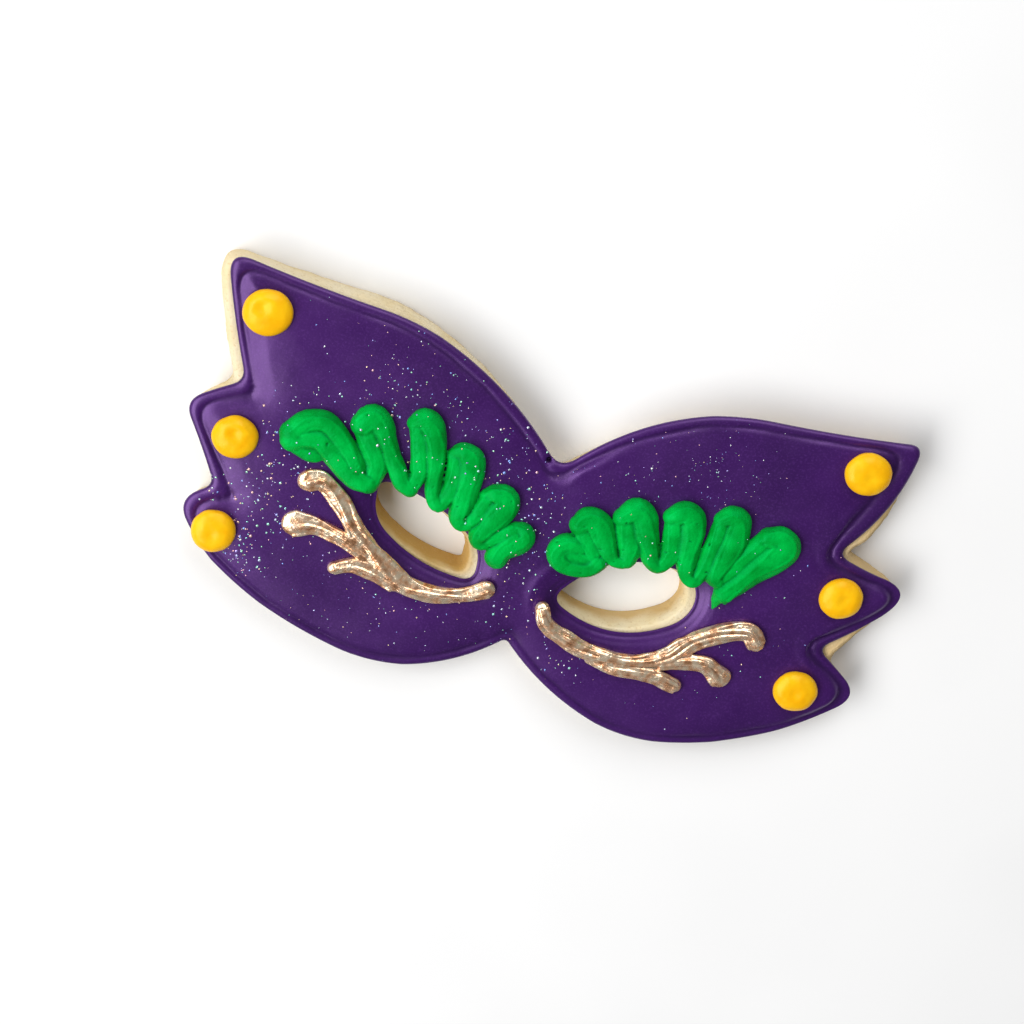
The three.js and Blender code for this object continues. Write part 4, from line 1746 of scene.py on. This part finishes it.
@dataclass
class GoldSpray:
    """A branching spray of piped strokes under gold paint, grooved along their length."""

    node: str
    strokes: tuple[Stroke, ...]
    seed: int
    finish: GoldLustre = GoldLustre()
    step: float = 0.25
    rise: float = 1.1
    body_share: float = 0.74
    lines: DragLines = DragLines((-0.8, -0.2, 0.3, 0.8), 0.38, 0.4)
    lumps: Layers = ((2.6, 0.1), (1.05, 0.03), (0.5, 0.015))
    voxel: float = 0.12
    softness: int = 2
    crease_reach: int = 10
    crease_depth: float = 0.12

    def build(self) -> bpy.types.Object:
        """Pipes, fuses, roughens and dresses the spray.

        Returns:
            The piece.
        """
        form = Form()
        draw = np.random.default_rng(self.seed)
        for stroke in self.strokes:
            self.pipe(form, stroke, draw)
        name = self.node + "_painted"
        mesh = fused(form, name, self.voxel, self.softness)
        places = points_of(mesh)
        push_out(mesh, places, Grain(self.seed).layered(places, self.lumps))
        mark_creases(mesh, self.crease_reach, self.crease_depth)
        return set_down(mesh, name, self.finish, (self.node,))

    def pipe(self, form: Form, stroke: Stroke, draw: np.random.Generator) -> None:
        """Pipes one flat-topped stroke with ridges that run along it.

        Args:
            form: The form that it is piped into.
            stroke: The stroke.
            draw: Where its ridges' sway and swell come from.
        """
        body = Rope.along(stroke, self.step, self.rise)
        body.rises = body.rises * self.body_share
        for piece in (body, *body.ridges(self.lines, draw)):
            piece.add_to(form)


@dataclass
class SugarDots:
    """Six piped yellow dots, each a low dome with a soft dimple where the bag was lifted."""

    dots: dict[str, Dot]
    finish: YellowPiping = YellowPiping()
    tall: float = 2.0
    profile: tuple[Place, ...] = (
        (0.86, -0.4), (0.93, 0.0), (1.0, 0.28), (0.93, 0.6), (0.7, 0.86), (0.36, 0.98), (0.0, 1.0),
    )
    ring_step: float = 0.035
    segments: int = 72
    bowl: float = 1.3
    bowl_half: float = 0.22
    lip: float = 0.6
    lip_gap: float = 0.45
    lip_half: float = 0.24
    top_start: float = 1.0
    top_reach: float = 0.7
    lumps: Layers = ((2.4, 0.09), (1.2, 0.04))
    seed: int = 5

    def build(self) -> list[bpy.types.Object]:
        """Pipes and dresses every dot."""
        return [self.pipe(name, dot, number) for number, (name, dot) in enumerate(self.dots.items())]

    def pipe(self, name: str, dot: Dot, number: int) -> bpy.types.Object:
        """Pipes one dot.

        Args:
            name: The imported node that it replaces.
            dot: Its place and sizes.
            number: Its place in the row, which seeds its unevenness.

        Returns:
            The piece.
        """
        section = smooth_run(self.profile, self.ring_step)[:-1]
        angles = np.linspace(0, 2 * math.pi, self.segments, endpoint=False)
        form = Form()
        last = None
        for share, up in section:
            x = dot.at[0] + dot.half[0] * share * np.cos(angles)
            y = dot.at[1] + dot.half[1] * share * np.sin(angles)
            ring = form.add(np.column_stack([x, y, np.full(self.segments, DECK + up * self.tall)]))
            if last is not None:
                form.strip(last, ring)
            last = ring
        tip = form.add(np.array([[dot.at[0], dot.at[1], DECK + self.tall]]))
        form.fan(last, int(tip[0]))
        mesh = form.mesh(name + "_piped")
        self.dimple(mesh, dot, number)
        return set_down(mesh, name + "_piped", self.finish, (name,))

    def dimple(self, mesh: bpy.types.Mesh, dot: Dot, number: int) -> None:
        """Sinks the dot's dimple, with a low lip round it, and makes the dot a little uneven.

        Args:
            mesh: The dot's mesh.
            dot: Its place and sizes.
            number: Its place in the row, which seeds its unevenness.
        """
        places = points_of(mesh)
        grain = Grain(self.seed + number)
        x = (places[:, 0] - dot.at[0]) / dot.half[0] - dot.dimple[0]
        y = (places[:, 1] - dot.at[1]) / dot.half[1] - dot.dimple[1]
        gap = np.hypot(x, y)
        bowl = self.bowl * np.exp(-((gap / self.bowl_half) ** 2))
        lip = self.lip * np.exp(-(((gap - self.lip_gap) / self.lip_half) ** 2))
        top = np.clip((places[:, 2] - DECK - self.top_start) / self.top_reach, 0, 1)
        uneven = grain.layered(places, self.lumps)
        places[:, 2] -= dot.dimple_depth * (bowl - lip) * top
        push_out(mesh, places, uneven)


@dataclass(frozen=True)
class Sprinkle:
    """A patch of glitter.

    Attributes:
        at: Its middle.
        spread: How far it spreads each way.
        count: How many flakes fall there.
        lean: How far it is turned, in degrees.
        coarse: How big its flakes run.
    """

    at: Place
    spread: Place
    count: int
    lean: float = 0.0
    coarse: float = 1.0


@dataclass
class Glitter:
    """Fine glitter flakes lying on the icing and the piping."""

    sprinkles: tuple[Sprinkle, ...]
    tints: tuple[GlitterFlake, ...]
    smallest: float = 0.08
    largest: float = 0.23
    fineness: float = 2.2
    tilt: float = 0.35
    tilt_ways: tuple[float, float, float] = (1.0, 1.0, 0.4)
    edge_way: tuple[float, float, float] = (0.31, 1.0, 0.2)
    lift: float = 0.35
    thickness: float = 0.03
    sides: int = 6
    fall_from: float = 0.05
    lowest: float = 0.0058
    seed: int = 41

    def build(self, grounds: list[tuple[bpy.types.Object, float]]) -> list[bpy.types.Object]:
        """Scatters the flakes over what carries them.

        Args:
            grounds: The pieces that flakes fall on, each with the share that sticks there.

        Returns:
            One piece for each tint.
        """
        graph = bpy.context.evaluated_depsgraph_get()
        trees = [(BVHTree.FromObject(ground, graph), share) for ground, share in grounds]
        draw = np.random.default_rng(self.seed)
        forms = [Form() for _ in self.tints]
        for sprinkle in self.sprinkles:
            for x, y in self.places(sprinkle, draw):
                landing = self.landing(trees, x, y, draw.random())
                pick = int(draw.integers(len(self.tints)))
                share = draw.random() ** self.fineness
                size = sprinkle.coarse * (self.smallest + (self.largest - self.smallest) * share)
                turns = draw.normal(size=3)
                if landing is not None:
                    self.flake(forms[pick], landing, size, turns)
        return [
            set_down(form.mesh(tint.name), tint.name, tint)
            for form, tint in zip(forms, self.tints)
        ]

    def places(self, sprinkle: Sprinkle, draw: np.random.Generator) -> np.ndarray:
        """Draws where a patch's flakes fall.

        Args:
            sprinkle: The patch.
            draw: Where the places come from.

        Returns:
            One place for each flake.
        """
        out = draw.normal(size=(sprinkle.count, 2)) * np.array(sprinkle.spread)
        angle = math.radians(sprinkle.lean)
        turn = np.array([[math.cos(angle), math.sin(angle)], [-math.sin(angle), math.cos(angle)]])
        return out @ turn + np.array(sprinkle.at)

    def landing(
        self, trees: list[tuple[BVHTree, float]], x: float, y: float, chance: float
    ) -> tuple[np.ndarray, np.ndarray] | None:
        """Finds where a flake that falls straight down comes to rest.

        Args:
            trees: Look-ups of the pieces, each with the share of flakes that sticks to it.
            x: Its place across the mask.
            y: Its place towards the brows.
            chance: The flake's own chance, from 0 to 1.

        Returns:
            The place in millimetres and the way that the surface faces there, or None where none stays.
        """
        best = None
        above = Vector(((x + SHIFT[0]) * MM, (y + SHIFT[1]) * MM, self.fall_from))
        for tree, share in trees:
            spot, way, _, _ = tree.ray_cast(above, Vector((0, 0, -1)))
            if spot is not None and (best is None or spot.z > best[0].z):
                best = (spot, way, share)
        if best is None or chance >= best[2] or best[0].z < self.lowest:
            return None
        return np.array(best[0]) / MM - SHIFT, np.array(best[1])

    def flake(
        self, form: Form, landing: tuple[np.ndarray, np.ndarray], size: float, turns: np.ndarray
    ) -> None:
        """Adds one thin flake, tilted a little from the surface that it lies on.

        Args:
            form: The form that it is added to.
            landing: Where it lies and the way that the surface faces there.
            size: Its half-width.
            turns: Three drawn numbers that tilt and turn it.
        """
        spot, way = landing
        face = way + self.tilt * turns * np.array(self.tilt_ways)
        face /= np.linalg.norm(face)
        first = np.cross(face, (self.edge_way[0] * turns[1], *self.edge_way[1:]))
        first /= np.linalg.norm(first)
        second = np.cross(face, first)
        angles = np.linspace(0, 2 * math.pi, self.sides, endpoint=False) + turns[2]
        rim = first * np.cos(angles)[:, None] + second * np.sin(angles)[:, None]
        middle = spot + way * self.lift * size * self.tilt
        low = form.add(middle + rim * size)
        high = form.add(middle + rim * size + face * self.thickness)
        form.strip(low, high)
        form.faces.append(tuple(int(number) for number in high))
        form.faces.append(tuple(int(number) for number in low[::-1]))


@dataclass(frozen=True)
class Softbox:
    """A flat soft light: where it hangs, its width and height in metres, and its power in watts."""

    name: str
    way: tuple[float, float, float]
    distance: float
    size: Place
    power: float


@dataclass
class Studio:
    """The pale floor, the soft lights and the camera."""

    finish: PaleFloor = PaleFloor()
    floor_half: float = 4000.0
    aim: tuple[float, float, float] = (-5.2108, 1.2801, 6.6)
    lean: tuple[float, float] = (-0.17, 0.40)
    distance: float = 420.0
    roll: float = -17.3602
    lens: float = 97.12
    sensor: float = 36.0
    sight: Span = (0.01, 20.0)
    sky: float = 0.12
    lights: tuple[Softbox, ...] = (
        Softbox("window_light", (-0.61, -0.2, 0.77), 0.75, (1.1, 0.48), 7.6),
        Softbox("brow_fill", (0.0, 0.75, 0.65), 0.9, (0.6, 0.6), 3.7),
    )

    def build(self) -> None:
        """Lays the floor, hangs the lights and sets up the camera."""
        self.lay_floor()
        self.light()
        self.set_camera()

    def lay_floor(self) -> None:
        """Lays the floor under the cookie."""
        half = self.floor_half
        form = Form()
        form.add(np.array([[-half, -half, 0], [half, -half, 0], [half, half, 0], [-half, half, 0]]))
        form.faces.append((0, 1, 2, 3))
        floor = bpy.data.objects.new("pale_floor", form.mesh("pale_floor", MM))
        floor.data.materials.append(self.finish.material())
        bpy.context.scene.collection.objects.link(floor)

    def light(self) -> None:
        """Sets the even sky and hangs the soft lights."""
        world = bpy.data.worlds.new("studio_sky")
        world.use_nodes = True
        world.node_tree.nodes["Background"].inputs["Color"].default_value = (1.0, 1.0, 1.0, 1.0)
        world.node_tree.nodes["Background"].inputs["Strength"].default_value = self.sky
        bpy.context.scene.world = world
        bpy.context.scene.view_settings.view_transform = "Standard"
        for box in self.lights:
            self.hang(box)

    @staticmethod
    def hang(box: Softbox) -> None:
        """Hangs one soft light so that it faces the cookie.

        Args:
            box: The light.
        """
        lamp = bpy.data.lights.new(box.name, "AREA")
        lamp.shape = "RECTANGLE"
        lamp.size, lamp.size_y = box.size
        lamp.energy = box.power
        way = Vector(box.way).normalized()
        light = bpy.data.objects.new(box.name, lamp)
        light.location = way * box.distance
        light.rotation_mode = "QUATERNION"
        light.rotation_quaternion = way.to_track_quat("Z", "Y")
        light.visible_camera = False
        bpy.context.scene.collection.objects.link(light)

    def set_camera(self) -> None:
        """Looks down at the cookie from the photograph's angle."""
        back = Vector((*self.lean, 1.0)).normalized()
        roll = math.radians(self.roll)
        right = Vector((math.sin(roll), math.cos(roll), 0.0)).cross(back).normalized()
        up = back.cross(right)
        aim = (Vector(self.aim) + Vector(SHIFT)) * MM
        place = aim + back * self.distance * MM
        turn = Matrix((right, up, back)).transposed()
        data = bpy.data.cameras.new("camera")
        data.lens = self.lens
        data.sensor_width = self.sensor
        data.clip_start, data.clip_end = self.sight
        camera = bpy.data.objects.new("camera", data)
        camera.matrix_world = Matrix.Translation(place) @ turn.to_4x4()
        bpy.context.scene.collection.objects.link(camera)
        bpy.context.scene.camera = camera


LEFT_PLUME = GreenPlume(
    node="green_plume_left",
    rising=(
        ((-39.2, 3.2, 1.8), (-36.8, 2.2, 1.4), (-35.2, 2.6, 0.9)),
        ((-27.4, 0.6, 1.7), (-27.3, 3.4, 1.9), (-28.9, 6.4, 2.1), (-30.4, 8.4, 1.9)),
        ((-21.2, 1.4, 1.2), (-20.7, 4.4, 1.6), (-21.8, 8.4, 1.6), (-22.9, 10.8, 1.4)),
        ((-16.2, -0.2, 1.1), (-15.3, 2.0, 1.4), (-15.5, 5.2, 1.4), (-16.0, 7.4, 1.3)),
        ((-11.8, -2.3, 1.0), (-10.3, -0.7, 1.4), (-9.5, 2.4, 1.4)),
        ((-8.3, -4.6, 1.0), (-6.5, -3.0, 1.4), (-4.1, -1.3, 1.3)),
    ),
    falling=(
        ((-40.5, 4.7, 2.2), (-39.1, 7.2, 1.7), (-36.4, 7.7, 1.7), (-33.0, 5.2, 1.7), (-30.0, 2.2, 1.6)),
        ((-40.4, 3.7, 2.0), (-36.6, 4.9, 2.1), (-33.4, 3.0, 2.1), (-29.8, 0.5, 1.95), (-27.6, 0.0, 1.7)),
        (
            (-31.0, 8.9, 1.9), (-29.9, 10.2, 2.3), (-28.2, 9.4, 2.0), (-26.9, 7.6, 1.55), (-25.5, 5.5, 1.4),
            (-24.0, 3.4, 1.4), (-22.7, 1.6, 1.4), (-21.3, 0.9, 1.35),
        ),
        (
            (-23.6, 11.3, 1.2), (-22.5, 12.3, 1.75), (-21.2, 11.6, 2.05), (-20.0, 9.4, 1.9),
            (-19.1, 6.7, 1.65), (-18.3, 3.5, 1.35), (-17.6, 0.8, 1.2), (-16.6, -0.4, 1.2), (-15.8, 0.2, 1.15),
        ),
        (
            (-16.7, 7.9, 1.0), (-15.3, 8.9, 1.55), (-14.1, 8.1, 2.25), (-13.4, 6.0, 2.3), (-13.2, 3.6, 2.15),
            (-13.0, 0.9, 1.8), (-13.0, -1.5, 1.4), (-12.1, -2.6, 1.2), (-11.2, -2.2, 1.1),
        ),
        (
            (-9.8, 3.0, 1.1), (-8.7, 3.6, 1.6), (-7.2, 3.4, 2.2), (-6.9, 2.2, 2.5), (-7.5, 0.2, 2.3),
            (-8.4, -1.8, 1.85), (-9.2, -3.7, 1.5), (-8.6, -4.7, 1.2), (-7.8, -4.6, 1.1),
        ),
        (
            (-3.9, -1.0, 1.15), (-2.7, -1.1, 1.5), (-2.4, -2.0, 2.0), (-3.4, -3.1, 2.2), (-4.9, -4.8, 1.95),
            (-5.4, -6.3, 1.85),
        ),
    ),
    seed=61,
)
RIGHT_PLUME = GreenPlume(
    node="green_plume_right",
    rising=(
        ((4.6, -1.9, 2.1), (6.0, -2.7, 2.4), (8.4, -2.9, 1.9)),
        ((9.2, -3.0, 1.5), (8.2, -0.9, 1.8), (6.7, 0.9, 1.8), (5.6, 2.4, 1.5)),
        ((13.9, -1.2, 1.4), (13.8, 0.8, 2.0), (12.8, 3.0, 2.0), (11.8, 4.9, 1.7)),
        ((19.4, -0.5, 1.2), (20.0, 2.1, 1.7), (19.0, 7.0, 1.6)),
        ((25.3, -1.0, 1.15), (26.0, 1.8, 1.6), (26.2, 8.5, 1.5)),
        ((28.8, -0.2, 1.1), (30.9, 3.6, 1.5), (33.4, 8.0, 1.7)),
    ),
    falling=(
        (
            (6.4, -1.2, 1.3), (4.4, -0.9, 1.6), (3.3, -2.0, 1.6), (3.3, -3.3, 1.6), (4.6, -4.2, 1.7),
            (6.5, -4.4, 1.6), (8.8, -3.9, 1.5), (9.9, -2.6, 1.5),
        ),
        (
            (5.1, 2.4, 1.6), (6.3, 3.6, 2.2), (7.9, 3.1, 2.3), (9.5, 1.1, 1.95), (10.9, -0.7, 1.45),
            (12.0, -1.6, 1.2), (13.4, -1.6, 1.2), (14.3, -0.9, 1.2),
        ),
        (
            (11.1, 5.5, 1.5), (12.8, 7.1, 2.1), (14.2, 6.2, 2.3), (15.3, 4.2, 2.0), (16.6, 1.8, 1.65),
            (17.5, -0.1, 1.35), (18.8, -0.8, 1.25), (19.7, 0.0, 1.2),
        ),
        (
            (18.2, 7.6, 1.35), (20.0, 8.9, 1.85), (21.2, 8.3, 2.2), (21.9, 6.3, 2.2), (22.4, 3.3, 1.85),
            (23.0, 0.4, 1.55), (23.7, -1.0, 1.3), (24.9, -1.5, 1.25), (25.6, -0.7, 1.1),
        ),
        (
            (25.8, 9.3, 1.25), (27.0, 10.3, 1.65), (28.2, 9.8, 2.1), (28.6, 7.1, 2.25), (28.2, 4.0, 2.1),
            (27.8, 1.7, 1.95), (27.7, 0.0, 1.5), (28.6, -0.6, 1.25),
        ),
        (
            (33.5, 8.6, 1.5), (35.5, 8.8, 2.1), (36.4, 7.7, 2.8), (35.5, 5.7, 2.85), (33.6, 3.2, 2.45),
            (31.7, 0.3, 2.0), (30.1, -2.2, 1.7),
        ),
        ((30.0, -2.4, 1.4), (29.5, -3.6, 1.0), (29.5, -4.6, 0.6), (29.4, -5.4, 0.2)),
        ((30.4, -2.4, 1.1), (30.6, -2.9, 0.9), (30.9, -3.9, 0.35)),
    ),
    seed=67,
)
LEFT_SPRAY = GoldSpray(
    node="gold_spray_left",
    strokes=(
        (
            (-36.2, -2.2, 1.75), (-34.6, -1.6, 1.5), (-32.6, -2.6, 1.4), (-30.2, -4.6, 1.45),
            (-26.6, -8.6, 1.55), (-22.4, -12.1, 1.8), (-18.0, -14.5, 1.75), (-13.7, -15.0, 1.4),
            (-8.4, -13.8, 1.1), (-5.2, -12.0, 1.45),
        ),
        ((-36.4, -9.5, 2.1), (-33.6, -9.0, 1.4), (-29.7, -9.8, 1.3), (-24.6, -11.2, 1.3)),
        ((-28.7, -15.0, 1.0), (-26.0, -13.6, 1.15), (-22.8, -13.9, 1.4), (-19.2, -14.9, 1.4)),
    ),
    seed=71,
    lines=DragLines((-0.8, -0.05, 0.78), 0.38, 0.4),
    lumps=((2.6, 0.1), (1.1, 0.03), (0.5, 0.015)),
)
RIGHT_SPRAY = GoldSpray(
    node="gold_spray_right",
    strokes=(
        (
            (4.0, -12.6, 1.15), (5.2, -14.7, 1.2), (8.8, -16.6, 1.3), (14.7, -17.8, 1.25),
            (21.1, -17.2, 1.15), (25.2, -15.0, 1.5), (28.4, -11.6, 1.7), (32.7, -8.6, 1.65),
            (36.2, -7.6, 1.5), (37.9, -9.2, 1.3),
        ),
        ((24.5, -16.4, 1.1), (28.0, -15.2, 1.15), (31.5, -14.9, 1.3), (34.3, -16.2, 1.8)),
        ((13.4, -19.0, 0.6), (17.9, -19.3, 1.05), (24.0, -18.9, 1.25), (28.0, -19.6, 1.1)),
    ),
    seed=73,
)
SPRINKLES = (
    Sprinkle((-42.0, -4.0), (3.2, 6.5), 150, coarse=1.15),
    Sprinkle((-43.0, -16.0), (1.8, 2.2), 60, coarse=1.15),
    Sprinkle((-50.0, -8.5), (1.6, 2.0), 14),
    Sprinkle((-27.5, 18.0), (3.2, 3.2), 60, coarse=0.75),
    Sprinkle((-15.0, 12.5), (5.0, 3.0), 70, -35.0, 0.85),
    Sprinkle((-7.5, 8.0), (3.4, 3.4), 60, -35.0),
    Sprinkle((-1.0, 1.0), (2.2, 3.4), 65),
    Sprinkle((0.0, -10.0), (3.2, 5.0), 55),
    Sprinkle((-22.0, 4.0), (10.0, 4.5), 90, -28.0, 1.2),
    Sprinkle((-30.0, -12.0), (9.0, 7.0), 95, coarse=0.75),
    Sprinkle((-14.0, -19.0), (9.0, 4.0), 80, 10.0, 0.8),
    Sprinkle((-33.0, 12.0), (7.0, 5.0), 34, coarse=0.75),
    Sprinkle((24.0, 16.5), (4.6, 3.6), 90, coarse=0.6),
    Sprinkle((11.0, 12.0), (5.0, 2.6), 50, 25.0, 0.6),
    Sprinkle((9.0, -21.5), (2.6, 1.6), 26, -25.0),
    Sprinkle((20.0, 3.0), (10.0, 5.0), 60),
    Sprinkle((36.0, -9.0), (5.0, 5.0), 20, coarse=0.6),
    Sprinkle((28.0, -18.0), (14.0, 6.0), 34, coarse=0.6),
    Sprinkle((-28.0, 0.0), (18.0, 16.0), 130, coarse=0.7),
)
# The shares of the falling flakes that stay on the icing, on the plumes and on the other piping.
ICING_CLING, PLUME_CLING, BARE = 1.0, 0.42, 0.0
TINTS = (
    GlitterFlake("glitter_silver", (240, 242, 250), (214, 226, 255)),
    GlitterFlake("glitter_aqua", (170, 236, 236), (200, 255, 226)),
    GlitterFlake("glitter_violet", (196, 176, 255), (150, 180, 255)),
    GlitterFlake("glitter_rose", (255, 196, 214), (255, 232, 190)),
)


def main() -> None:
    """Builds the cookie's pieces and its studio in order."""
    logging.basicConfig(level=logging.INFO, format="%(message)s")
    cutter = MaskCutter()
    biscuit = Biscuit(cutter).build()
    icing = PurpleIcing(cutter).build()
    plumes = [plume.build() for plume in (LEFT_PLUME, RIGHT_PLUME)]
    sprays = [spray.build() for spray in (LEFT_SPRAY, RIGHT_SPRAY)]
    dots = SugarDots(DOTS).build()
    grounds = [(icing, ICING_CLING)]
    grounds += [(plume, PLUME_CLING) for plume in plumes]
    grounds += [(piece, BARE) for piece in sprays + dots]
    flakes = Glitter(SPRINKLES, TINTS).build(grounds)
    Studio().build()
    for piece in (biscuit, icing, *plumes, *sprays, *dots, *flakes):
        LOG.info("%s: %d points", piece.name, len(piece.data.vertices))


if __name__ == "__main__":
    main()
